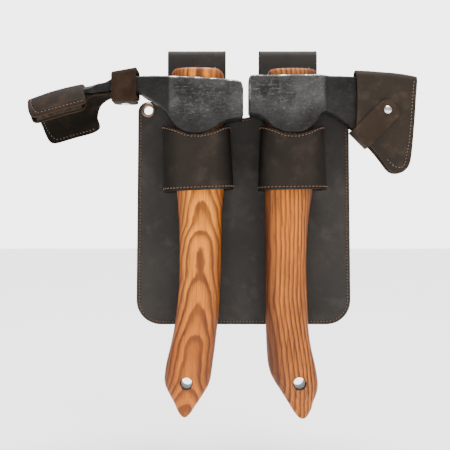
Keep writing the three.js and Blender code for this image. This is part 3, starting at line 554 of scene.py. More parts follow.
def steel_material():
    """Black forged steel: mill scale, bright scratches along the head, worn corners, and painted shade on the
    necks and the underside.
    """
    n = Nodes("forged_steel")
    cloud = n.noise(30, 5, 0.6)
    scale_marks = n.noise(170, 6, 0.72)
    pits = n.noise(520, 5, 0.7)
    drawn = n.noise(560, 5, 0.75, vector=n.scaled((0.22, 1, 1)), distort=0.6)
    colour = n.mix(n.span(cloud, 0.34, 0.66, 0, 1), (0.021, 0.0206, 0.0200), (0.080, 0.0785, 0.0758))
    colour = n.mix(n.span(scale_marks, 0.54, 0.72, 0, 0.6), colour, (0.105, 0.103, 0.100))
    colour = n.mix(n.span(drawn, 0.54, 0.70, 0, 0.7), colour, (0.15, 0.147, 0.142))
    colour = n.mix(n.span(pits, 0.60, 0.72, 0, 0.5), colour, (0.24, 0.236, 0.229))
    colour = n.mix(n.span(pits, 0.4, 0.29, 0, 0.75), colour, (0.010, 0.010, 0.0105))
    worn_here = n.span(n.noise(120, 5, 0.75), 0.46, 0.62, 0.0, 1.0)
    bright = n.times(n.span(n.attribute("wear"), 0.3, 0.95, 0, 1), worn_here)
    colour = n.mix(bright, colour, (0.38, 0.375, 0.365))
    # Painted shade: the necks and the downward faces are painted near black and made less metallic
    painted_shade = n.attribute("painted_shade")
    colour = n.mix(n.times(painted_shade, 0.8), colour, (0.0070, 0.0064, 0.0058))
    rough = n.span(n.plus(scale_marks, n.times(pits, 0.5)), 0.5, 1.0, 0.64, 0.44)
    rough = n.minus(rough, n.times(bright, 0.12), clamp=True)
    normal = n.bump(n.cells(95, feature="SMOOTH_F1", smooth=0.6), 0.3, 0.0016)
    normal = n.bump(scale_marks, 0.3, 0.0007, normal)
    normal = n.bump(pits, 0.32, 0.0003, normal)
    metal = n.times(n.span(bright, 0, 1, 0.35, 0.9), n.span(painted_shade, 0, 1, 1.0, 0.08))
    n.finish(colour, rough, normal, metal=metal, spec=0.08)


def wood_material(name, centre, bend, arch, spacing, early, late, dark, streak, foot):
    """Sawn wood: rings that rise to arches along the middle line, or run straight where arch is 0."""
    n = Nodes(name)
    axes = n.new("ShaderNodeSeparateXYZ")
    n.link(n.coord, axes.inputs[0])
    x, y, z = axes.outputs
    low_down = n.math("MAXIMUM", n.minus(-0.225, z), 0.0)
    off = n.minus(n.minus(x, centre), n.times(low_down, bend))
    sway = n.minus(n.noise(9, 3, 0.5, vector=n.scaled((1, 1, 0.8))), 0.5)
    ragged = n.minus(n.noise(170, 4, 0.65, vector=n.scaled((1, 1, 0.25))), 0.5)
    if arch:
        off = n.plus(off, n.times(sway, 0.022))
        rings = n.plus(z, n.times(n.times(off, off), arch))
        rings = n.plus(rings, n.times(ragged, 0.017))
        rings = n.plus(rings, n.times(y, 0.8))
        rings = n.plus(rings, n.times(n.noise(14, 2, 0.5, vector=n.scaled((0.1, 0.1, 1))), 0.10))
        rings = n.plus(rings, n.times(off, -0.45))
    else:
        rings = n.plus(off, n.times(sway, 0.012))
        rings = n.plus(rings, n.times(ragged, 0.0026))
        rings = n.plus(rings, n.times(y, 0.5))
    phase = n.math("FRACT", n.math("DIVIDE", n.plus(rings, 3.0), spacing))
    line = n.ramp(phase, [(0.0, 0.8), (0.08, 0.0), (0.34, 0.06), (0.6, 0.45), (0.76, 0.95), (0.93, 1.0),
                          (1.0, 0.9)])
    fibre = n.noise(700, 5, 0.65, vector=n.scaled((1, 1, 0.035)))
    pores = n.noise(2200, 3, 0.6, vector=n.scaled((1, 1, 0.03)))
    patch = n.noise(26, 3, 0.6, vector=n.scaled((1, 1, 0.3)))
    middle = tuple(0.55 * a + 0.45 * b for a, b in zip(early, late))
    colour = n.mix(n.span(patch, 0.35, 0.7, 0, 0.7), early, middle)
    strength = n.span(n.noise(60, 3, 0.6, vector=n.scaled((1, 1, 0.2))), 0.3, 0.7, 0.6, 1.0)
    colour = n.mix(n.times(line, strength), colour, late)
    colour = n.mix(n.span(fibre, 0.5, 0.7, 0, streak), colour, dark)
    colour = n.mix(n.span(pores, 0.58, 0.76, 0, 0.5), colour, dark)
    # The long edges are painted browner, partly as painted shade where the rounded handle turns from the
    # light and partly as oil and the lathe's heat, which also leave the foot browner
    edge_shade_and_oil = n.span(n.plus(n.math("ABSOLUTE", off), n.times(ragged, 0.008)), 0.010, 0.021, 0, 0.8)
    colour = n.mix(edge_shade_and_oil, colour, late)
    colour = n.mix(n.span(z, -0.15, -0.26, 0.0, 0.8), colour, n.mix(1.0, colour, foot, "MULTIPLY"))
    colour = n.mix(n.span(z, -0.006, 0.004, 0.0, 0.5), colour, late)
    # Painted shade on the handle where it stands between the head and the rim of its sleeve
    head_gap_shade = n.times(n.span(z, -0.040, -0.044, 0, 1), n.span(z, -0.074, -0.068, 0, 0.93))
    colour = n.mix(n.times(head_gap_shade, 0.9), colour, (0.016, 0.009, 0.006))
    # The bore's walls are painted near black: partly painted shade inside the lanyard hole, partly burnt wood
    colour = n.mix(n.attribute("bore_shade"), colour, (0.008, 0.006, 0.005))
    rough = n.span(n.plus(fibre, patch), 0.7, 1.3, 0.42, 0.62)
    normal = n.bump(line, 0.16, 0.0003, n.bump(fibre, 0.22, 0.0003))
    n.finish(colour, rough, normal, spec=0.28)


def metal_material(name, colour, stain, rough, spots=0.5):
    n = Nodes(name)
    tarnish = n.noise(380, 5, 0.65)
    col = n.mix(n.span(tarnish, 0.48, 0.72, 0, spots), colour, stain)
    fine = n.noise(2400, 3, 0.6)
    n.finish(col, n.span(tarnish, 0.35, 0.7, rough, rough + 0.22), n.bump(fine, 0.12, 0.0002), metal=1.0)


def thread_material(name, colour, light):
    n = Nodes(name)
    twist = n.noise(1400, 3, 0.6, vector=n.scaled((1, 1, 1)))
    colour = n.mix(n.span(twist, 0.35, 0.7, 0, 1), colour, light)
    n.finish(colour, 0.62, n.bump(twist, 0.5, 0.0002), spec=0.35, sheen=0.2)


welt_material()
steel_material()
wood_material("straight_grained_wood", 0.0445, 0.13, 0.0, 0.0044,
              (0.68, 0.190, 0.010), (0.075, 0.018, 0.004), (0.035, 0.009, 0.003), 0.9, (0.75, 0.70, 0.62))
wood_material("arched_grain_wood", -0.0436, -0.16, 200.0, 0.034,
              (0.98, 0.300, 0.012), (0.120, 0.027, 0.004), (0.08, 0.019, 0.004), 0.58, (0.50, 0.38, 0.30))
wood_material("wedge_wood", 0.0, 0.0, 0.0, 0.002,
              (0.70, 0.40, 0.16), (0.35, 0.16, 0.06), (0.15, 0.08, 0.04), 0.3, (1.0, 1.0, 1.0))
metal_material("wedge_steel", (0.30, 0.30, 0.31), (0.10, 0.075, 0.06), 0.4)
metal_material("antique_copper", (0.20, 0.125, 0.085), (0.06, 0.036, 0.026), 0.36, 0.7)
metal_material("nickel", (0.66, 0.65, 0.62), (0.36, 0.34, 0.31), 0.2, 0.3)
thread_material("thread_dark", (0.095, 0.040, 0.017), (0.165, 0.075, 0.033))
thread_material("thread_light", (0.120, 0.076, 0.050), (0.21, 0.148, 0.105))


def coat(obj, name):
    obj.data.materials.append(material[name])
    return obj


# ---- shared measures of the piece ----------------------------------------------------------

panel_low, panel_high = mm("panel_front")
PANEL_MID, LINING_MID = centre_of("panel_front")[1], centre_of("panel_lining")[1]


def lerp(a, b, t):
    return a + (b - a) * t


def bulge(turn, power):
    c, s = np.cos(turn), np.sin(turn)
    return np.sign(c) * np.abs(c) ** (2 / power), np.sign(s) * np.abs(s) ** (2 / power)


def flat_at(y):
    """Leather lying in an upright plane, its good side towards the front."""
    return lambda u, v, w: np.stack([u, y - w, v], axis=1)


def ribbon(path, turned=1):
    """A strip seen edge on: a function from the run along it to place and outward direction, and the runs."""
    run = np.concatenate([[0], np.cumsum(np.linalg.norm(np.diff(path, axis=0), axis=1))])
    along = np.gradient(path, axis=0)
    along /= np.linalg.norm(along, axis=1)[:, None]
    out = turned * np.stack([-along[:, 1], along[:, 0]], axis=1)

    def at(where):
        a, b, out_a, out_b = (np.interp(where, run, column) for column in (*path.T, *out.T))
        length = np.hypot(out_a, out_b)
        return a, b, out_a / length, out_b / length
    return at, run


def evened(p):
    """Each point of a closed line drawn towards its two neighbours."""
    return (np.roll(p, 1, axis=0) + 2 * p + np.roll(p, -1, axis=0)) / 4


def lathe(name, profile, to_space, around=48):
    """Turned piece from [radius, height] points; to_space puts (x, y, height) points in the frame."""
    profile = np.array(profile, float)
    turn = np.arange(around) / around * 2 * np.pi
    rings = [to_space(r * np.cos(turn), r * np.sin(turn), np.full(around, h)) for r, h in profile]
    return grid_solid(name, rings, cap=not np.allclose(profile[0], profile[-1]))


def rounded(profile, rounds=2):
    """Open profile with its corners eased, ends kept."""
    return soften(profile, rounds, closed=False).tolist()


# ---- holster -------------------------------------------------------------------------------


def panel_outline(inset):
    top, foot = panel_high[2] - inset, panel_low[2] + inset
    half_top, half_foot = 108.2 - inset, panel_high[0] - inset
    r, big, dip = 10, 25, -42.1
    line = arc(half_top - r, top - r, r, 0, 90)
    line += [[30, top], [22, top - 1.6], [16, top - 6], [11, dip + 3.4], [4, dip], [-5, dip],
             [-12, dip + 3.4], [-17, top - 6], [-23, top - 1.6], [-31, top]]
    line += arc(-half_top + r, top - r, r, 90, 180)
    line += arc(-half_foot + big, foot + big, big, 180, 270, 16)
    line += arc(half_foot - big, foot + big, big, 270, 360, 16)
    return line


def ease_dip(line):
    """The dip between the loops is cut in one sweep, without corners."""
    p = resample(line, 1.2, closed=True)
    zone = (np.abs(p[:, 0]) < 34) & (p[:, 1] > -60)
    smooth = p.copy()
    for _ in range(24):
        smooth[zone] = evened(smooth)[zone]
    return smooth


EYELET_X, _, EYELET_Z = centre_of("eyelet_right")
eyelet_holes = [np.array(arc(side * EYELET_X, EYELET_Z, 5.25, 0, 345, 23)) for side in (-1, 1)]
panel_line = ease_dip(panel_outline(0))
panel_seam = shrink(anticlockwise(panel_line), 3.1)
for _ in range(3):
    panel_seam = evened(panel_seam)
closed_seam = np.vstack([panel_seam, panel_seam[:1]])


def wavy(to_space, amount, seed):
    """Leather is never quite flat: adds a slow, small wave to the depth."""
    def put(u, v, w):
        p = to_space(u, v, w)
        for i in range(len(p)):
            p[i, 1] += amount * noise.noise(Vector((u[i] / 46 + seed, v[i] / 46, seed)))
        return p
    return put


panel_space = wavy(flat_at(PANEL_MID), 0.14, 3.0)
place(leather("panel_front", panel_line, panel_space, LAYER, 2.6, eyelet_holes, [closed_seam]),
      "holster_leather", "panel_front")
stitches(closed_seam, panel_space, BODY["panel_front"], LAYER / 2 - 0.05)
lining_line = shrink(anticlockwise(panel_line), 0.6)
place(leather("panel_lining", lining_line, flat_at(LINING_MID), LAYER, 3.4, eyelet_holes, [closed_seam]),
      "lining_leather", "panel_lining")
stitches(closed_seam, lambda u, v, w: flat_at(LINING_MID)(u, v, -w), BODY["panel_lining"], LAYER / 2 - 0.05)


def loop_path():
    """Middle line of a belt loop as [y, z], from the front leaf's foot over the fold to the rear one's."""
    out, inn, shut = 5.4, 3.0, -2.7
    low, high = mm("belt_loop_left")
    mid = (out + inn) / 2
    top = high[2] - (out - inn) / 2
    line = [[-mid, low[2]], [-mid, -60], [-mid, -30], [-mid, -8]]
    line += [[-mid * math.cos(a), top - mid + mid * math.sin(a)] for a in np.radians(np.linspace(0, 180, 25))]
    line += [[mid, 6], [mid, -12], [mid - 0.3, -21], [mid - 1.1, -30], [1.2, -38], [shut + 1.8, -44],
             [shut + 1.2, -49], [shut + 1.2, -56], [shut + 1.2, low[2]]]
    p = resample(line, 1.0)
    for _ in range(10):
        p[1:-1] = (p[:-2] + 2 * p[1:-1] + p[2:]) / 4
    return p


def loop_space(centre):
    at, run = ribbon(loop_path())

    def put(u, v, w):
        y, z, out_y, out_z = at(v)
        return np.stack([centre + u, y + w * out_y, z + w * out_z], axis=1)
    return put, run[-1]


for side in ("left", "right"):
    low, high = mm(f"belt_loop_{side}")
    centre, half = (low[0] + high[0]) / 2, (high[0] - low[0]) / 2
    put, total = loop_space(centre)
    bores = [np.array(arc(s * 19, at, 1.9, 0, 330, 11)) for s in (-1, 1) for at in (14, total - 14)]
    r = 1.5
    line = (arc(half - r, total - r, r, 0, 90, 4) + arc(-half + r, total - r, r, 90, 180, 4)
            + arc(-half + r, r, r, 180, 270, 4) + arc(half - r, r, r, 270, 360, 4))
    obj = leather(f"belt_loop_{side}", line, put, LAYER, 2.4, bores)
    place(obj, "holster_leather", f"belt_loop_{side}")
    for i, s in enumerate((-1, 1)):
        low, high = mm(f"loop_rivet_{side}_{i + 1}")
        x, z, face = (low[0] + high[0]) / 2, (low[2] + high[2]) / 2, high[1] - 1.9
        profile = [[0.01, low[1]], [1.6, low[1]], [1.6, face]]
        profile += rounded([[4.2, face], [4.3, face + 0.5], [3.4, face + 1.3], [1.7, face + 1.8],
                            [0.01, face + 1.9]])
        rivet = lathe(f"loop_rivet_{side}_{i + 1}", profile,
                      lambda a, b, h, x=x, z=z: np.stack([x + a, h, z + b], axis=1), 28)
        place(rivet, "antique_copper", f"loop_rivet_{side}_{i + 1}")


SLEEVE_POWER = 2.7  # how square the sleeves are in section
SCOOP = [[-1, 0], [-0.6, 4.8], [-0.2, 9.7], [0.05, 10.1], [0.45, 7.8], [0.85, 1.6], [1, 0]]
TOP_SEAM, FOOT_SEAM = 2.0, 3.0  # how far the sleeves' stitch lines are from the rim and the hem
DENT_DEPTH, DENT_WIDE = 0.3, 0.7  # of the sleeves' stitch lines
SLEEVES = {
    "left": dict(top=(-81.4, -14), foot=(-80.4, -10), rim=-53.5, hem=(-119.4, -116.4)),
    "right": dict(top=(16, 79), foot=(14, 83), rim=-53.5, hem=(-117.9, -116.9)),
}


def sleeve(side):
    """The tube is laid out flat as (share of the way round, height), then wrapped round the handle."""
    s = SLEEVES[side]
    low, high = mm(f"sleeve_{side}")
    mid_y, deep = (low[1] + high[1]) / 2, (high[1] - low[1]) / 2
    wide = (s["top"][1] - s["top"][0]) / 2
    turns = np.linspace(0.5 * np.pi, 2.5 * np.pi, 721)
    cx, cy = bulge(turns, SLEEVE_POWER)
    px, py = wide * cx, deep * cy
    run = np.concatenate([[0], np.cumsum(np.hypot(np.diff(px), np.diff(py)))])
    total = run[-1]

    def put(u, v, w):
        turn = np.interp(np.mod(u, total), run, turns)
        a, b = bulge(turn, SLEEVE_POWER)
        share = (s["rim"] - v) / (s["rim"] - s["hem"][0])
        left, right = lerp(s["top"][0], s["foot"][0], share), lerp(s["top"][1], s["foot"][1], share)
        grow = w - SLEEVE_WALL / 2
        x = (left + right) / 2 + ((right - left) / 2 + grow) * a
        y = mid_y + (deep + grow) * b
        return np.stack([x, y, v], axis=1)

    across = lambda u: bulge(np.interp(np.mod(u, total), run, turns), SLEEVE_POWER)[0]
    scoop = np.array(SCOOP)
    rim = lambda u: s["rim"] - table(scoop, across(u))[:, 0]
    hem = lambda u: lerp(s["hem"][0], s["hem"][1], (across(u) + 1) / 2)
    rows = 34
    mesh_u = np.linspace(0, total, 241)[:-1]
    edge = 0.8
    shape = [(0, 0), (0.1, 0.42), (0.36, 0.76), (0.8, 1.0)]
    verts, attrs = [], {"groove": [], "rim": [], "side_shade": []}
    hi, lo = rim(mesh_u), hem(mesh_u)
    levels = []
    half = SLEEVE_WALL / 2
    dent = lambda d, at: math.exp(-(((d - at) / DENT_WIDE) ** 2))
    for d, k in shape:
        levels.append((hi - d, half - edge + edge * k, d, 0))
    for d in (1.2, 1.6, 2.0, 2.4, 2.9):
        levels.append((hi - d, half - DENT_DEPTH * dent(d, TOP_SEAM), d, dent(d, TOP_SEAM)))
    for i in range(1, rows):
        t = i / rows
        levels.append((hi - 2.9 + (lo + 4.2 - hi + 2.9) * t, half, 5, 0))
    for d in (4.0, 3.5, 3.0, 2.5, 2.0, 1.4):
        levels.append((lo + d, half - DENT_DEPTH * dent(d, FOOT_SEAM), d, dent(d, FOOT_SEAM)))
    for d, k in shape[::-1]:
        levels.append((lo + d, half - edge + edge * k, d, 0))
    loops = [(z, w, rim_d, g, 0) for z, w, rim_d, g in levels]
    loops += [(z, -min(w, half) if g == 0 else -half, rim_d, 0, 1) for z, w, rim_d, g in levels[::-1]]
    count = len(mesh_u)
    for z, w, rim_d, g, under in loops:
        z = np.broadcast_to(z, (count,))
        p = put(mesh_u, z, np.full(count, w))
        if not under:
            for i in range(count):
                # soft dents where the leather was pressed round the handle
                q = Vector((p[i, 0] / 17, p[i, 1] / 30, p[i, 2] / 24))
                p[i, 1] -= 0.35 * noise.noise(q) * (1 if p[i, 1] < mid_y else 0)
        verts.append(p)
        attrs["groove"] += [g] * count
        attrs["rim"] += [math.exp(-rim_d / RIM_FADE)] * count
        # Painted shade on the tube's sides, darker towards where it turns back
        attrs["side_shade"] += np.clip((np.abs(across(mesh_u)) - 0.5) / 0.45, 0, 1).tolist()
    faces = ring_faces(len(loops), count, joined=True)
    obj = mesh_object(f"sleeve_{side}", np.vstack(verts), faces, True, list(attrs.items()))
    outward(obj)
    place(obj, "sleeve_leather", f"sleeve_{side}")
    # Stitches show on the front half only; the back half is sewn down to the panel
    us = np.linspace(0, total, 181)
    front = us[(us > total * 0.2) & (us < total * 0.8)]
    for line in (np.stack([front, rim(front) - TOP_SEAM], axis=1),
                 np.stack([front, hem(front) + FOOT_SEAM], axis=1)):
        stitches(line, put, BODY[f"sleeve_{side}"], SLEEVE_WALL / 2 + 0.02)


for side in ("left", "right"):
    sleeve(side)

for side in ("left", "right"):
    low, high = mm(f"eyelet_{side}")
    x, front, back = centre_of(f"eyelet_{side}")[0], low[1], high[1]
    put = lambda a, b, h, x=x: np.stack([x + a, h, EYELET_Z + b], axis=1)
    lip = rounded([[5.0, front + 1.3], [7.2, front + 1.25], [7.3, front + 0.8], [6.5, front + 0.15],
                   [5.5, front], [4.7, front + 0.3], [4.5, front + 1.0]])
    profile = [[5.0, back]] + lip + [[4.5, back - 0.4], [4.6, back]]
    profile.append(profile[0])
    place(lathe(f"eyelet_{side}", profile, put), "antique_copper", f"eyelet_{side}")
    low, high = mm(f"eyelet_washer_{side}")
    foot, top = low[1], high[1]
    profile = [[5.2, foot], [7.2, foot], [7.2, foot + 0.45], [6.6, top - 0.12], [5.9, top], [5.2, top - 0.3],
               [5.2, foot]]
    place(lathe(f"eyelet_washer_{side}", profile, put), "antique_copper", f"eyelet_washer_{side}")


# ---- tools ---------------------------------------------------------------------------------

AXE_HANDLE = [
    [2.6, 26, 70, 10.5], [0.2, 24, 72.5, 11.6], [-4, 23.3, 73.3, 12], [-63, 22, 70, 12.4],
    [-100, 21.2, 68.6, 13], [-119, 21, 68, 13.2], [-131, 21, 66.2, 13.3], [-155, 21.7, 63.4, 13.4],
    [-194, 22, 62, 13.2], [-227, 22, 63, 12.9], [-251, 21.6, 64, 12.6], [-263, 22, 65.2, 12.4],
    [-275, 22.6, 67.2, 12.2], [-287, 23.4, 70, 12], [-299, 26, 72.4, 11.6], [-305, 28.8, 73.3, 11.3],
    [-311, 32.4, 73.8, 10.8], [-317, 36.4, 73.2, 10], [-323, 40.2, 71.4, 9], [-329, 44, 69, 7.8],
    [-335, 47.6, 67.4, 6.8], [-340.5, 51.4, 64.6, 5.6], [-343.8, 54.2, 62.4, 4.2], [-345.3, 56.6, 60.2, 2.4],
]
ADZE_HANDLE = [
    [3.2, -69, -25, 10.5], [0.8, -71.4, -22, 11.6], [-4, -72.5, -20, 12], [-63, -69.8, -19.6, 12.4],
    [-100, -67.6, -19.6, 13], [-119, -67, -20.2, 13.2], [-131, -66, -21.8, 13.3], [-155, -64.6, -22.6, 13.4],
    [-194, -64.2, -23.2, 13.2], [-215, -65, -24, 13], [-239, -67.4, -25.2, 12.7], [-251, -69.2, -26.4, 12.5],
    [-263, -71.4, -27.8, 12.3], [-275, -74, -29.2, 12], [-287, -77, -30.8, 11.8], [-299, -79, -32.4, 11.5],
    [-305, -79.6, -33.4, 11.3], [-311, -78.8, -35.2, 10.8], [-317, -76.4, -38.4, 10], [-323, -73.2, -42.2, 9],
    [-329, -70, -46.2, 7.8], [-335, -67.4, -50.2, 6.8], [-339.5, -65.2, -53.2, 5.6],
    [-342.5, -62.8, -56, 4.2], [-344, -61, -57.8, 2.4],
]
AXE_HEAD = [
    [4.4, -7.2, -39.6, 14, 1.6], [6.6, -4.9, -42, 16.5, 1.6], [14, -4.7, -43.8, 16.5, 1.6],
    [17.5, -4.7, -46, 16.5, 1.6], [22, -4.7, -49.4, 16.5, 1.6], [25.8, -4.7, -53.4, 16.5, 1.6],
    [30, -4.7, -57, 16.5, 1.6], [36, -4.6, -59.8, 16.5, 1.6], [44.4, -4.6, -61.8, 16.5, 1.6],
    [54, -4.5, -61.8, 16.5, 1.6], [60, -4.5, -59.8, 16.5, 1.6], [64, -4.5, -57, 16.5, 1.6],
    [68, -4.5, -52.8, 16.5, 1.6], [71.6, -4.5, -48.4, 16.5, 1.6], [74.4, -4.5, -43.6, 16.4, 1.6],
    [77.4, -4.5, -40.4, 15.6, 1.6], [80.4, -4.5, -39.8, 13.2, 1.6], [84, -4.5, -40.8, 11, 1.6],
    [89, -4.4, -43.2, 9, 1.5], [95.4, -4.2, -46.8, 7.6, 1.4], [107, -4.3, -56.4, 6.2, 1.2],
    [116, -5, -63.8, 5.2, 1], [125, -5.8, -71, 4.2, 0.8], [135, -6.8, -78.6, 3.3, 0.7],
    [143, -7.8, -84.2, 2.5, 0.5], [150, -8.8, -87.6, 1.8, 0.4], [154, -9.4, -86.6, 1.3, 0.3],
    [157, -12, -82, 0.9, 0.2], [158.8, -19, -73, 0.6, 0.15], [159.6, -34, -58, 0.4, 0.1],
]
ADZE_BLOCK = [
    [-1, -17, -44, 14, 1.6], [-3.2, -11.4, -46.6, 16.5, 1.6], [-14, -9.4, -48.2, 16.5, 1.6],
    [-20, -8.6, -50.4, 16.5, 1.6], [-24.5, -8.2, -53, 16.5, 1.6], [-30, -7.8, -57, 16.5, 1.6],
    [-36.5, -7.4, -60.2, 16.5, 1.6], [-44, -7, -62.6, 16.5, 1.6], [-53, -6.6, -62.6, 16.5, 1.6],
    [-60, -6.2, -60.2, 16.5, 1.6], [-66, -6, -56.4, 16.5, 1.6], [-70, -5.8, -51.6, 16.5, 1.6],
    [-73.4, -5.7, -46, 16.3, 1.6], [-76.4, -5.6, -41, 15.4, 1.6], [-79.6, -5.4, -38, 13.8, 1.6],
    [-84, -5, -34.4, 12.6, 1.6], [-91, -4.7, -29.2, 11.8, 1.6], [-99, -4.9, -24.6, 11.5, 1.6],
    [-106, -5.3, -20.2, 11.5, 1.6], [-112, -5.6, -19.2, 11.5, 1.6], [-119.5, -6.2, -18.8, 11.5, 1.6],
    [-130, -7.8, -18.8, 11.8, 1.6],
]
ADZE_BLADE = [
    [-137.5, -9.8, 34, 23, 8.8], [-144.5, -11.6, 35, 29.5, 7.4], [-150.2, -14, 35.2, 37.5, 5.6],
    [-158.4, -16.8, 35, 42, 3.3], [-171.4, -19.4, 35.2, 44.5, 3.3], [-181.4, -21.9, 35.2, 45, 3],
    [-191.4, -24.8, 35.2, 45, 2.4], [-197.4, -26.9, 35.2, 44.5, 1.6], [-201.4, -28.4, 35.2, 43, 0.8],
]
# The gouge leans back as it deepens, and twists over the first 23 mm of the blade
PITCH, TWIST = 0.29, 0.2


def twist_at(x):
    return TWIST * np.clip((-138 - np.asarray(x, float)) / 23, 0, 1)


def cut_out(obj, *cutters):
    """Takes the cutters' shapes out of obj and throws the cutters away."""
    for cutter in cutters:
        mod = obj.modifiers.new("cut", "BOOLEAN")
        mod.object, mod.operation, mod.solver = cutter, "DIFFERENCE", "EXACT"
    graph = bpy.context.evaluated_depsgraph_get()
    mesh = bpy.data.meshes.new_from_object(obj.evaluated_get(graph))
    obj.modifiers.clear()
    old, obj.data = obj.data, mesh
    bpy.data.meshes.remove(old)
    for cutter in cutters:
        bpy.data.objects.remove(cutter)


def crisp(obj, degrees):
    """Smooth shading that breaks at real corners."""
    obj.data.set_sharp_from_angle(angle=math.radians(degrees))


def box_object(name, low, high):
    x, y, z = zip(low, high)
    verts = [(a, b, c) for a in x for b in y for c in z]
    faces = [(0, 1, 3, 2), (4, 6, 7, 5), (0, 4, 5, 1), (2, 3, 7, 6), (0, 2, 6, 4), (1, 5, 7, 3)]
    return mesh_object(name, verts, faces, False)


HANDLE_POWER = 2.35  # how square the handles are in section


def handle_rings(rows, levels, grow=0.0, around=112):
    turn = (np.arange(around) + 0.5) / around * 2 * np.pi
    a, b = bulge(turn, HANDLE_POWER)
    rings = []
    for z, (left, right, half) in zip(levels, table(rows, levels)):
        x = (left + right) / 2 + ((right - left) / 2 + grow) * a
        rings.append(np.stack([x, TOOL_Y + (half + grow) * b, np.full(around, z)], axis=1))
    return np.array(rings)


def make_handle(tool, rows, hole, kerf, cross, wood):
    top, foot = rows[0][0], rows[-1][0]
    levels = np.concatenate([np.linspace(top, top - 4, 9), np.arange(top - 6, foot + 26, -2.6),
                             np.linspace(foot + 25, foot + 1.2, 26), [foot + 0.5, foot + 0.15, foot]])
    rings = handle_rings(rows, levels)
    rings[-2] = lerp(rings[-2].mean(0), rings[-2], 0.9)
    rings[-1] = lerp(rings[-1].mean(0), rings[-1], 0.55)
    handle = grid_solid(f"{tool}_handle", rings)
    x, z, r = hole
    deep = float(table(rows, [z])[0][2])
    funnel = [[r + 3.5, 2.0], [r + 1.6, 0.3], [r + 0.7, -0.8], [r + 0.2, -1.8], [r, -3.2]]
    profile = [[at, deep + h] for at, h in funnel] + [[at, -deep - h] for at, h in funnel[::-1]]
    drill = lathe("drill", profile, lambda a, b, h: np.stack([x + a, TOOL_Y + h, z + b], axis=1), 40)
    above = top + 5
    slit = box_object("slit", (kerf[0], TOOL_Y - 1.2, top - 34), (kerf[1], TOOL_Y + 1.2, above))
    slot = box_object("slot", (cross - 0.9, TOOL_Y - 7, top - 16), (cross + 0.9, TOOL_Y + 7, above))
    cut_out(handle, drill, slit, slot)
    spots = np.array([v.co for v in handle.data.vertices]) / MM
    # Points on the bore's walls, which get painted shade
    bore_shade = np.hypot(spots[:, 0] - x, spots[:, 2] - z) < r + 0.9
    handle.data.attributes.new("bore_shade", "FLOAT", "POINT").data.foreach_set("value", bore_shade.astype(np.float32))
    crisp(handle, 38)
    place(handle, wood, f"{tool}_handle")
    for kind in ("wood", "steel"):
        low, high = mm(f"{tool}_{kind}_wedge")
        rings = []
        for level, share in ((low[2], 0.3), (high[2] - 0.5, 1.0), (high[2], 0.86)):
            (cx, cy, _), (hx, hy, _) = (low + high) / 2, (high - low) / 2
            if kind == "wood":
                hy *= share
            else:
                hx *= share
            a, b = bulge((np.arange(28) + 0.5) / 28 * 2 * np.pi, 9)
            rings.append(np.stack([cx + hx * a, cy + hy * b, np.full(28, level)], axis=1))
        wedge = grid_solid(f"{tool}_{kind}_wedge", rings)
        crisp(wedge, 40)
        place(wedge, f"wedge_{kind}", f"{tool}_{kind}_wedge")


make_handle("axe", AXE_HANDLE, (54.5, -308, 5.6), (30, 56), 64, "straight_grained_wood")
make_handle("adze", ADZE_HANDLE, (-57, -308, 5.3), (-66, -38), -29, "arched_grain_wood")


# Points of a forged section: along its top or foot, down a cheek, round a corner
ACROSS, CHEEK, CORNER = 26, 40, 7
HAMMER_MARK = 15  # size of the largest unevenness left by the forge
FORGED_SINK = 0.2  # how far the uneven skin lies under the even one, on average
EYE_ROOM = 0.35  # the eye is this much wider than the handle on each side


def block_ring(x, high, low, half, bevel):
    """Section of a forged block: flat faces, eased corners; goes round from the top's front corner."""
    r = min(bevel * 1.5, half * 0.8, (high - low) * 0.4)
    ring, worn = [], []
    corners = [(-half + r, high - r, 180, 90), (half - r, high - r, 90, 0),
               (half - r, low + r, 0, -90), (-half + r, low + r, -90, -180)]
    for k, (y, z, a0, a1) in enumerate(corners):
        t = np.radians(np.linspace(a0, a1, CORNER))
        ring += np.stack([y + r * np.cos(t), z + r * np.sin(t)], axis=1).tolist()
        worn += (1 - np.abs(np.linspace(-1, 1, CORNER)) ** 2).tolist()
        n = ACROSS if k % 2 == 0 else CHEEK
        start = np.array(ring[-1])
        y2, z2, b0, _ = corners[(k + 1) % 4]
        end = np.array([y2 + r * math.cos(math.radians(b0)), z2 + r * math.sin(math.radians(b0))])
        for t in np.arange(1, n) / n:
            ring.append(lerp(start, end, t).tolist())
            worn.append(0)
    ring = np.array(ring)
    return np.column_stack([np.full(len(ring), x), TOOL_Y + ring[:, 0], ring[:, 1]]), np.array(worn)


def gutter_ring(x, crown, radius, spread, thick):
    """Section of the gouge with the same run of points as a block's."""
    top = 2 * CORNER + ACROSS - 1
    side = CHEEK - 1

    def edge(depth, n):
        turn = np.radians(np.linspace(-spread, spread, n))
        y = (radius - depth) * np.sin(turn)
        down = depth + (radius - depth) * (1 - np.cos(turn))
        return np.column_stack([x + PITCH * down, TOOL_Y + y, crown - down - twist_at(x) * y])

    upper, lower = edge(0, top), edge(thick, top)
    t = (np.arange(side) + 1)[:, None] / (side + 1)
    far = lerp(upper[-1], lower[-1], t)
    near = lerp(lower[0], upper[0], t)
    return np.vstack([upper, far, lower[::-1], near])


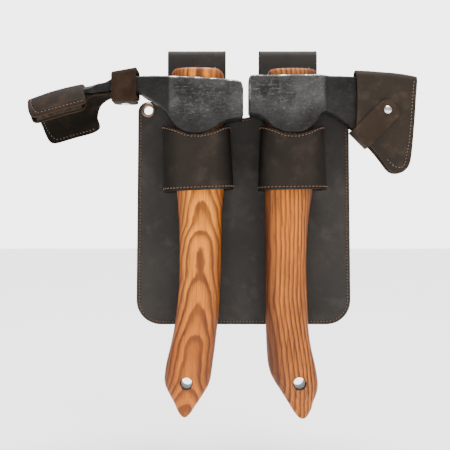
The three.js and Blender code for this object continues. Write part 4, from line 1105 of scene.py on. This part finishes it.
def forged(name, sections, worn, xs, keys, eye, seed, neck, ends):
    """Head through its sections, hammer marks and all, with its eye cut out."""
    n = sections.shape[1]
    flat = table([[k, *s.ravel()] for k, s in zip(keys, sections)], xs).reshape(len(xs), n, 3)
    wear = np.tile(worn, (len(xs), 1))
    for at, width in ends:
        wear = np.maximum(wear, np.exp(-((np.abs(xs - at) / width) ** 2))[:, None])
    centre = flat.mean(1, keepdims=True)
    out = flat - centre
    out[..., 0] = 0
    out /= np.maximum(np.linalg.norm(out, axis=2), 1e-6)[..., None]
    for i in range(len(xs)):
        for j in range(n):
            p = flat[i, j]
            q = Vector((p[0] / HAMMER_MARK + seed, p[1] / HAMMER_MARK, p[2] / HAMMER_MARK))
            bump = 0.24 * noise.noise(q) + 0.12 * noise.noise(q * 2.7) + 0.05 * noise.noise(q * 7.1)
            flat[i, j] = p + out[i, j] * (bump - FORGED_SINK)
    # Hands and sheaths rub the top and the cheeks, so the downward faces keep little wear; the downward faces
    # and the necks beyond the cheeks get painted shade, near black
    below = np.clip(-1.8 * out[..., 2] - 0.5, 0, 1)
    wear = wear * (1 - 0.9 * below)
    from_cheek = np.clip((np.abs(flat[..., 0]) - neck) / 2.5, 0, 1)
    painted_shade = np.concatenate([np.maximum(from_cheek, 0.9 * below).ravel(), [0, 1]])
    obj = grid_solid(name, flat, [("wear", np.concatenate([wear.ravel(), [0.1, 0.1]])), ("painted_shade", painted_shade)])
    cut_out(obj, eye)
    crisp(obj, 50)
    return place(obj, "forged_steel", name)


def eye_of(rows):
    levels = np.concatenate([[20], np.arange(0, -74, -3.0)])
    fixed = [[20, *rows[2][1:]]] + [r for r in rows if -130 < r[0] <= -4]
    return grid_solid("eye", handle_rings(fixed, levels, EYE_ROOM, 96))


block = [block_ring(*row) for row in AXE_HEAD]
worn = block[0][1]
xs = np.concatenate([np.linspace(4.4, 8, 10), np.arange(9, 156, 1.1), np.linspace(156, 159.6, 12)])
forged("axe_head", np.array([b[0] for b in block]), worn, xs, [r[0] for r in AXE_HEAD],
       eye_of(AXE_HANDLE), 1.0, 77.5, [(5.4, 1.1)])

rows = [block_ring(*row)[0] for row in ADZE_BLOCK] + [gutter_ring(*row) for row in ADZE_BLADE]
keys = [row[0] for row in ADZE_BLOCK + ADZE_BLADE]
xs = -np.concatenate([np.linspace(1, 4, 9), np.arange(5, 200.4, 1.2), [200.9, 201.4]])
forged("adze_head", np.array(rows), worn, xs, keys, eye_of(ADZE_HANDLE), 5.0, 72,
       [(-1.8, 1.1)])


# ---- axe mask ------------------------------------------------------------------------------

MASK_OUTLINE = [
    [109.8, 2.4], [122, 2], [134, 1.2], [148.8, 0.2], [160, -1.2], [172.6, -3.6], [172.2, -12],
    [171.2, -24], [170, -43.4], [168.8, -58.2], [167.6, -72], [166.4, -83], [165.4, -89], [163.4, -94],
    [160, -98], [155.6, -100.5], [150.8, -101], [146.4, -99.8], [142.9, -96.8], [137.9, -89.8],
    [132, -81.9], [124.1, -73], [116.5, -64.7], [110.2, -57.6], [110.8, -50], [111.4, -40], [111.7, -27],
    [111.6, -14], [110.8, -6],
]
MASK_WELT = [
    [171.4, -7], [170.6, -20], [169.8, -34], [168.8, -48], [167.4, -64], [165.8, -80], [164.2, -88],
    [162, -93], [158.9, -96.9], [155.2, -99.1], [151, -99.6], [147.2, -98.8], [144.4, -96.4],
    [149, -91.2], [151.6, -91.6], [154.2, -91], [156.2, -88.6], [157.6, -85.6], [158.8, -80],
    [159.9, -70], [160.6, -58], [160.9, -44], [161.2, -28], [161.4, -7],
]
ROUND = 5.6  # height of the rounded fold
# Half the gap between the mask's leaves: MASK_REAR at MASK_START, and MASK_WEDGE more at MASK_REACH beyond it
MASK_REAR, MASK_WEDGE, MASK_START, MASK_REACH = 7, 1.9 - 7, 108, 64


def mask_room(x):
    return MASK_REAR + MASK_WEDGE * (np.asarray(x, float) - MASK_START) / MASK_REACH


def mask_top(x):
    return table(MASK_OUTLINE[:6], x)[:, 0]


quarter = np.linspace(0, np.pi / 2, 60)


def fold_length(half):
    """Length of the leather from the crest of the fold to where the leaf hangs straight."""
    half = np.atleast_1d(half)
    y, z = half[:, None] * np.sin(quarter), ROUND * np.cos(quarter)
    return np.hypot(np.diff(y, axis=1), np.diff(z)).sum(1)


def mask_space(u, v, w):
    """The mask laid open: u is x, v the run of the leather from the fold, front leaf positive."""
    u, v, w = (np.asarray(k, float) for k in (u, v, w))
    half = mask_room(u) + LAYER / 2
    length = fold_length(half)
    crest = mask_top(u) - LAYER / 2
    run = np.abs(v)
    turn = np.clip(run / length, 0, 1) * np.pi / 2
    y, z = half * np.sin(turn), crest - ROUND + ROUND * np.cos(turn)
    ny, nz = ROUND * np.sin(turn), half * np.cos(turn)
    norm = np.hypot(ny, nz)
    z = z - np.maximum(run - length, 0)
    side = np.where(v >= 0, -1.0, 1.0)
    return np.stack([u, TOOL_Y + side * (y + w * ny / norm), z + w * nz / norm], axis=1)


def mask_run(points):
    """Front-view points (x, z) as points of the opened mask's front leaf."""
    p = np.asarray(points, float)
    half = mask_room(p[:, 0]) + LAYER / 2
    return np.stack([p[:, 0], fold_length(half) + (mask_top(p[:, 0]) - LAYER / 2 - ROUND - p[:, 1])], axis=1)


lower = soften(MASK_OUTLINE[5:] + [MASK_OUTLINE[0]], 2, closed=False)
lower = lower[lower[:, 1] < -8]
leaf = mask_run(lower)
leaf = np.vstack([[172.6, 0], [172.5, 4], leaf, [110.6, 4], [110.2, 0]])
opened = np.vstack([leaf, (leaf * [1, -1])[::-1][1:-1]])
MASK_SEAM = [[168.2, -8.4], [165.8, -38.5], [163.8, -68.1], [160.6, -81.9], [159.1, -91.8], [156.7, -95.3],
             [151.7, -95.3], [147.8, -93.3], [140.9, -86.4]]
MASK_SEAM = [[x + 0.6 if x > 158 else x, z] for x, z in MASK_SEAM]
seam = mask_run(soften(MASK_SEAM, 2, closed=False))
mask_wave = wavy(mask_space, 0.22, 11.0)
mask = leather("axe_mask_shell", opened, mask_wave, LAYER, 2.2, grooves=[seam, seam * [1, -1]])
place(mask, "cover_leather", "axe_mask_shell")
for line in (seam, seam * [1, -1]):
    stitches(line, mask_wave, BODY["axe_mask_shell"], LAYER / 2 - 0.02, pitch=STITCH_PITCH, radius=0.34,
             tone="light")


def welt_space(u, v, w):
    y = TOOL_Y - np.asarray(w) * (mask_room(u) - 0.05)
    return np.stack([u, y, v], axis=1)


welt = leather("axe_mask_welt", soften(MASK_WELT, 1), welt_space, 2.0, 2.4, edge=0.12)
place(welt, "welt_leather", "axe_mask_welt")

# The strap's own frame: u up the strap from its fold under the beard, v across it
FOLD = np.array([114.2, -67.6])
TURN = math.radians(45)
ALONG, OVER = np.array([math.cos(TURN), math.sin(TURN)]), np.array([math.sin(TURN), -math.cos(TURN)])
STRAP_WIDE, STRAP_LONG, STRAP_THICK, BASE_LONG = 23.2, 49, 2.2, 34


def on_strap(u, v):
    u, v = np.asarray(u, float), np.asarray(v, float)
    return FOLD[0] + u * ALONG[0] + v * OVER[0], FOLD[1] + u * ALONG[1] + v * OVER[1]


def strap_path():
    """Middle line as [u, y from the tool plane]: from the strap's base behind, round, and up the front."""
    near = float(mask_room(on_strap(2, 0)[0])) + LAYER + 0.3 + STRAP_THICK / 2
    h = STRAP_THICK / 2
    r = 2.2
    line = [[BASE_LONG, near], [10, near], [h + r + 0.2, near]]
    line += [[h + r - r * math.sin(a), near - r + r * math.cos(a)]
             for a in np.radians(np.linspace(10, 90, 9))]
    line += [[h, 0]]
    line += [[h + r - r * math.cos(a), -near + r - r * math.sin(a)]
             for a in np.radians(np.linspace(0, 80, 9))]
    line += [[h + r + 0.2, -near], [12, -near], [STRAP_LONG, -near]]
    return resample(line, 0.5)


strap_at, strap_run = ribbon(strap_path(), -1)


def strap_space(v, run, w):
    """The strap laid out straight: v across, run along from the base's free end."""
    u, y, out_u, out_y = strap_at(run)
    u, y = u + w * out_u, y + w * out_y
    x, z = on_strap(u, v)
    lean = np.clip((u - 1.0) / 5.0, 0, 1) * np.clip(np.abs(y) / 6, 0, 1)
    ease = (mask_room(on_strap(2, 0)[0]) - mask_room(x)) * lean
    return np.stack([x, TOOL_Y + y - np.sign(y) * ease, z], axis=1)


half_wide = STRAP_WIDE / 2
total = strap_run[-1]
r1, r2 = 5.0, 8.0
strip = (arc(half_wide - r2, total - r2, r2, 0, 90, 10) + arc(-half_wide + r2, total - r2, r2, 90, 180, 10)
         + arc(-half_wide + r1, r1, r1, 180, 270, 6) + arc(half_wide - r1, r1, r1, 270, 360, 6))
strap = leather("axe_mask_strap", strip, strap_space, STRAP_THICK, 1.9, edge=0.75)
coat(strap, "strap_leather")
hinge_run = BASE_LONG - 2.0
corner = strap_space(np.zeros(2), np.array([hinge_run - 2.6, hinge_run + 3.2]), np.zeros(2)) * MM
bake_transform(strap)
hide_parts("axe_mask_strap", "axe_mask_strap_base")


def turned_on(node, profile, y, sense, around=28):
    """Turned nickel piece on a leaf of the mask; heights in the profile run outwards from the depth y."""
    x, _, z = centre_of(node)
    piece = lathe(node, profile, lambda a, b, h: np.stack([x + a, y + sense * h, z + b], axis=1), around)
    place(piece, "nickel", node)


RIVET = [[0.01, 0], [3.3, 0]] + rounded([[3.3, 0], [3.4, 0.5], [2.6, 1.2], [1.3, 1.55], [0.01, 1.6]])[1:]
for i in (1, 2):
    turned_on(f"axe_mask_rivet_{i}", RIVET, mm(f"axe_mask_rivet_{i}")[0][1] - 0.3, 1)
low, high = mm("axe_mask_snap_cap")
radius = (high[0] - low[0]) / 2
profile = [[0.01, -0.3], [radius, -0.3]]
profile += rounded([[radius, -0.3], [radius, 0.5], [radius - 0.7, 1.15], [radius - 2.0, 1.6], [0.6, 1.75],
                    [0.01, 1.75]])[1:]
turned_on("axe_mask_snap_cap", profile, high[1], -1, 48)
profile = [[0.01, 0]] + rounded([[2.2, 0], [2.2, 0.6], [1.8, 0.8], [2.0, 1.1], [1.6, 1.3], [0.01, 1.3]], 1)
turned_on("axe_mask_snap_stud", profile, mm("axe_mask_snap_stud")[1][1], -1)


# ---- adze cover ----------------------------------------------------------------------------

CROWN = [
    [-211.9, -29.3], [-201.4, -25.5], [-191.4, -22], [-181.4, -19.1], [-171.4, -16.6], [-158.4, -13.9],
]
UNDER = [
    [-155, -20.6], [-150, -20.7], [-144, -20.6], [-137, -19.9], [-120, -19.3], [-110, -19.8],
]
WINGS = [
    [-211.9, 40, 40], [-211.5, 45, 44.5], [-210.6, 48.6, 47.8], [-209, 51, 50], [-206.5, 52.6, 51.4],
    [-203, 53.4, 52], [-196, 54, 52.4], [-188, 54.2, 52.6], [-178, 54.2, 52.6], [-169, 54, 52.4],
    [-163.4, 53.4, 51.8],
]
OUTER_END = [[-160.4, 52.6, 51], [-158.9, 51, 49.6], [-158.4, 48.6, 47.4]]
NECK = [
    [-160.6, 50, 50], [-157.6, 43, 43], [-154.8, 35, 35], [-151.5, 28.5, 28.5], [-147.8, 23, 23],
    [-143, 18.5, 18.5], [-137.5, 15, 15], [-131, 12.4, 12.4], [-120, 10.8, 10.8], [-110, 10.4, 10.4],
]
COVER_RADIUS, BEND, ROOM = 38, math.radians(60), 4.2
UNDER_DEPTH = LAYER + ROOM
inner_crown = [[x, z - UNDER_DEPTH] for x, z in CROWN] + UNDER


def cover_point(x, run, depth, inner):
    """x at the crown, run from the crown along the outer surface, depth under that surface."""
    x, run, depth = (np.asarray(k, float) for k in (x, run, depth))
    turn = np.minimum(np.abs(run) / COVER_RADIUS, BEND)
    straight = np.maximum(np.abs(run) - COVER_RADIUS * BEND, 0)
    r = COVER_RADIUS - depth
    y = np.sign(run) * (r * np.sin(turn) + straight * math.cos(BEND))
    down = r * (1 - np.cos(turn)) + straight * math.sin(BEND)
    lean = down + np.minimum(depth, UNDER_DEPTH) * (np.where(x > CROWN[-1][0], 0.4, 1) if inner else 1)
    if inner:
        crown = table(inner_crown, x)[:, 0] + UNDER_DEPTH
    else:
        crown = table(CROWN, x)[:, 0]
    return np.stack([x + PITCH * lean, TOOL_Y + y, crown - depth - down - twist_at(x) * y], axis=1)


def wing_line(rows):
    """Outline of a leaf of the cover, laid open: the far wing's edge, then the near one's."""
    start, stop = rows[0][0], rows[-1][0]
    xs = np.concatenate([[start], np.linspace(start + 0.2, start + 4, 12),
                         np.arange(start + 6, stop - 4, 2.5), np.linspace(stop - 3, stop, 7)])
    runs = table(rows, xs)
    near, far = (np.stack([xs, sign * runs[:, k]], axis=1) for k, sign in ((0, -1), (1, 1)))
    return np.vstack([far, near[::-1]])


outer_space = wavy(lambda u, v, w: cover_point(u, v, LAYER / 2 - w, False), 0.2, 21.0)
inner_space = lambda u, v, w: cover_point(u, v, UNDER_DEPTH + LAYER / 2 - w, True)


def wing_seam(sign, stop):
    """Stitch line from beside the crown, round the tip's corner and along one wing."""
    column = 0 if sign < 0 else 1
    tip = [[-208.6, sign * t] for t in np.linspace(8 if sign < 0 else 14, 30, 6)]
    xs = np.linspace(-203.8, stop, 30)
    line = np.stack([xs, sign * (table(WINGS, xs)[:, column] - 3.4)], axis=1)
    return soften(np.vstack([tip, [[-208.2, sign * 38]], [[-206.8, sign * 43.6]], line]), 2, closed=False)


outer_seams = [wing_seam(-1, -160.4), wing_seam(1, -160.4)]
cover = leather("adze_cover_outer", wing_line(WINGS + OUTER_END), outer_space, LAYER, 2.2,
                grooves=outer_seams)
place(cover, "adze_cover_leather", "adze_cover_outer")
for line in outer_seams:
    stitches(line, outer_space, BODY["adze_cover_outer"], LAYER / 2 - 0.05, pitch=STITCH_PITCH, radius=0.3)

inner_seams = [wing_seam(-1, -163), wing_seam(1, -163)]
inner = leather("adze_cover_inner", wing_line(WINGS + NECK), inner_space, LAYER, 2.4, grooves=inner_seams)
place(inner, "cover_inside_shaded", "adze_cover_inner")
for line in inner_seams:
    stitches(line, lambda u, v, w: inner_space(u, v, -w), BODY["adze_cover_inner"], LAYER / 2 - 0.05,
             pitch=STITCH_PITCH, radius=0.26, tone="light")

weld = lambda u, v, w: cover_point(u, v, LAYER + 0.05 + (ROOM - 0.1) * (1 - np.asarray(w)) / 2, False)
for column, (side, sign) in enumerate((("near", -1), ("far", 1))):
    xs = np.linspace(-206.4, -163.6, 22)
    reach = table(WINGS, xs)[:, column] - 0.8
    line = np.vstack([np.stack([xs, sign * reach], axis=1),
                      np.stack([xs, np.full(len(xs), sign * 31.6)], axis=1)[::-1]])
    band = leather(f"adze_cover_welt_{side}", line, weld, 2.0, 2.2, edge=0.12)
    place(band, "welt_leather", f"adze_cover_welt_{side}")
line = [[-211.1, -31], [-204.1, -31], [-204.1, 31], [-211.1, 31]]
band = leather("adze_cover_welt_tip", line, weld, 2.0, 2.2, edge=0.12)
place(band, "welt_leather", "adze_cover_welt_tip")

# Keeper: a band round the neck and its leaf, closed underneath by a flap that bends round the front corner
low, high = mm("adze_keeper_band")
KEEP_X = (low[0] + high[0]) / 2
KEEP_WIDE = (high[0] - low[0]) / 2
KEEP_HALF, KEEP_FOOT = 15, low[2]
KEEP_TOP = (-1.2, 3.4)  # its top edge rises from left to right
KEEP_MID = sum(KEEP_TOP) / 2
flap_low, flap_high = mm("adze_keeper_flap")
FLAP_Z = flap_low[2] + LAYER / 2
h = LAYER / 2


def keeper_path():
    """Middle line as [y, z]: from the flap's free end round the front corner, up, over, down and under."""
    w, top, foot, r = KEEP_HALF - h, KEEP_MID - h, KEEP_FOOT + h, 3.4
    line = [[flap_high[1] - TOOL_Y, FLAP_Z], [0, FLAP_Z], [-w + r, FLAP_Z]]
    line += arc(-w + r, FLAP_Z + r, r, 270, 180, 8)
    line += [[-w, lerp(foot, top, 0.5)]]
    line += arc(-w + r, top - r, r, 180, 90, 8)
    line += arc(w - r, top - r, r, 90, 0, 8)
    line += arc(w - r, foot + r, r, 0, -90, 8)
    line += [[0, foot], [-KEEP_HALF + LAYER + 1.8, foot]]
    return resample(line, 0.5)


keep = keeper_path()
keep_at, keep_run = ribbon(keep)


def keeper_space(u, run, w):
    y, z, out_y, out_z = keep_at(run)
    slope = (KEEP_TOP[1] - KEEP_TOP[0]) / (2 * KEEP_WIDE)
    rise = u * slope * np.clip((z - KEEP_FOOT) / (KEEP_MID - KEEP_FOOT), 0, 1)
    return np.stack([KEEP_X + u, TOOL_Y + y + w * out_y, z + rise + w * out_z], axis=1)


keep_total = keep_run[-1]
r1, r2 = 6.0, 0.8
strip = (arc(KEEP_WIDE - r1, r1, r1, 0, -90, 8) + arc(-KEEP_WIDE + r1, r1, r1, -90, -180, 8)
         + arc(-KEEP_WIDE + r2, keep_total - r2, r2, 180, 90, 3)
         + arc(KEEP_WIDE - r2, keep_total - r2, r2, 90, 0, 3))
keeper = leather("adze_keeper", strip, wavy(keeper_space, 0.15, 31.0), LAYER, 1.9)
coat(keeper, "keeper_leather")
bend_at = keep_run[np.argmin(np.hypot(keep[:, 0] + KEEP_HALF - h, keep[:, 1] - KEEP_FOOT + 0.3))]
ends = keeper_space(np.zeros(2), np.array([bend_at + 2.2, bend_at - 2.8]), np.zeros(2)) * MM
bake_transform(keeper)
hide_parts("adze_keeper_band", "adze_keeper_flap")

SNAP_X, SNAP_Y, _ = centre_of("adze_keeper_snap_cap")


def upright(name, profile):
    """Turned nickel piece of the keeper's snap, which stands on end."""
    piece = lathe(name, profile, lambda a, b, t: np.stack([SNAP_X + a, SNAP_Y + b, t], axis=1), 36)
    place(piece, "nickel", name)


low, high = mm("adze_keeper_snap_cap")
r, (foot, top) = (high[0] - low[0]) / 2, (low[2], high[2])
upright("adze_keeper_snap_cap", [[0.01, top], [r, top]]
        + rounded([[r, top], [r, top - 0.6], [r - 1.1, foot + 0.25], [0.8, foot], [0.01, foot]])[1:])
foot, top = (corner[2] for corner in mm("adze_keeper_snap_stud"))
upright("adze_keeper_snap_stud", [[0.01, top], [3.2, top], [3.2, foot + 0.3], [2.9, foot], [0.01, foot]])
foot, top = (corner[2] for corner in mm("adze_keeper_snap_socket"))
upright("adze_keeper_snap_socket", [[0.01, foot], [3.3, foot], [3.4, top - 0.3], [3.0, top], [0.01, top]])

finish_threads()


# ---- studio --------------------------------------------------------------------------------

scene = bpy.context.scene
FLOOR_GAP, FLOOR_HALF = 0.05, 6  # metres: below the piece, and from the middle to each side
FLOOR = float(first_bounds[0][2]) - FLOOR_GAP


def studio_floor():
    verts = [(x * FLOOR_HALF, y * FLOOR_HALF, FLOOR) for x, y in ((-1, -1), (1, -1), (1, 1), (-1, 1))]
    mesh = bpy.data.meshes.new("floor")
    mesh.from_pydata(verts, [], [(0, 1, 2, 3)])
    floor = bpy.data.objects.new("floor", mesh)
    scene.collection.objects.link(floor)
    n = Nodes("floor")
    n.finish((0.90, 0.90, 0.895), 0.8, spec=0.1)
    floor.data.materials.append(material["floor"])


def area_light(name, place_at, aim, size, power):
    light = bpy.data.lights.new(name, "AREA")
    light.shape, light.energy = "RECTANGLE", power
    light.size, light.size_y = size
    obj = bpy.data.objects.new(name, light)
    obj.location = place_at
    obj.rotation_euler = (Vector(aim) - Vector(place_at)).to_track_quat("-Z", "Y").to_euler()
    scene.collection.objects.link(obj)


studio_floor()
world = bpy.data.worlds.new("studio")
world.use_nodes = True
sky = world.node_tree.nodes["Background"]
sky.inputs["Color"].default_value = (1.0, 1.0, 1.0, 1)
# Brighter behind the piece than in front of it, like a lit paper sweep
where = world.node_tree.nodes.new("ShaderNodeTexCoord").outputs["Generated"]
axes = world.node_tree.nodes.new("ShaderNodeSeparateXYZ")
world.node_tree.links.new(where, axes.inputs[0])
strength = world.node_tree.nodes.new("ShaderNodeMapRange")
world.node_tree.links.new(axes.outputs["Y"], strength.inputs["Value"])
for key, value in (("From Min", 0.70), ("From Max", 0.88), ("To Min", 0.6), ("To Max", 4.4)):
    strength.inputs[key].default_value = value
world.node_tree.links.new(strength.outputs[0], sky.inputs["Strength"])
scene.world = world
middle = (-0.019, -0.02, -0.15)
area_light("key", (0.42, -0.62, 0.85), middle, (0.45, 0.45), 6)
area_light("fill", (-0.9, -0.9, 0.3), middle, (0.8, 0.8), 0.8)
area_light("rim", (0.1, 0.7, 0.9), middle, (0.9, 0.4), 3)
# A soft overhead light from behind the piece keeps the floor pale
sun = bpy.data.lights.new("overhead", "SUN")
sun.energy, sun.angle = 8.0, math.radians(35)
overhead = bpy.data.objects.new("overhead", sun)
overhead.rotation_euler = Vector((0.0, 0.02, 1.0)).to_track_quat("Z", "Y").to_euler()
scene.collection.objects.link(overhead)

camera_data = bpy.data.cameras.new("camera")
camera_data.lens, camera_data.sensor_width = 52, 36
camera = bpy.data.objects.new("camera", camera_data)
camera.location = (-0.019, -0.6785, -0.152)
camera.rotation_euler = (math.pi / 2, 0, 0)
scene.collection.objects.link(camera)
scene.camera = camera
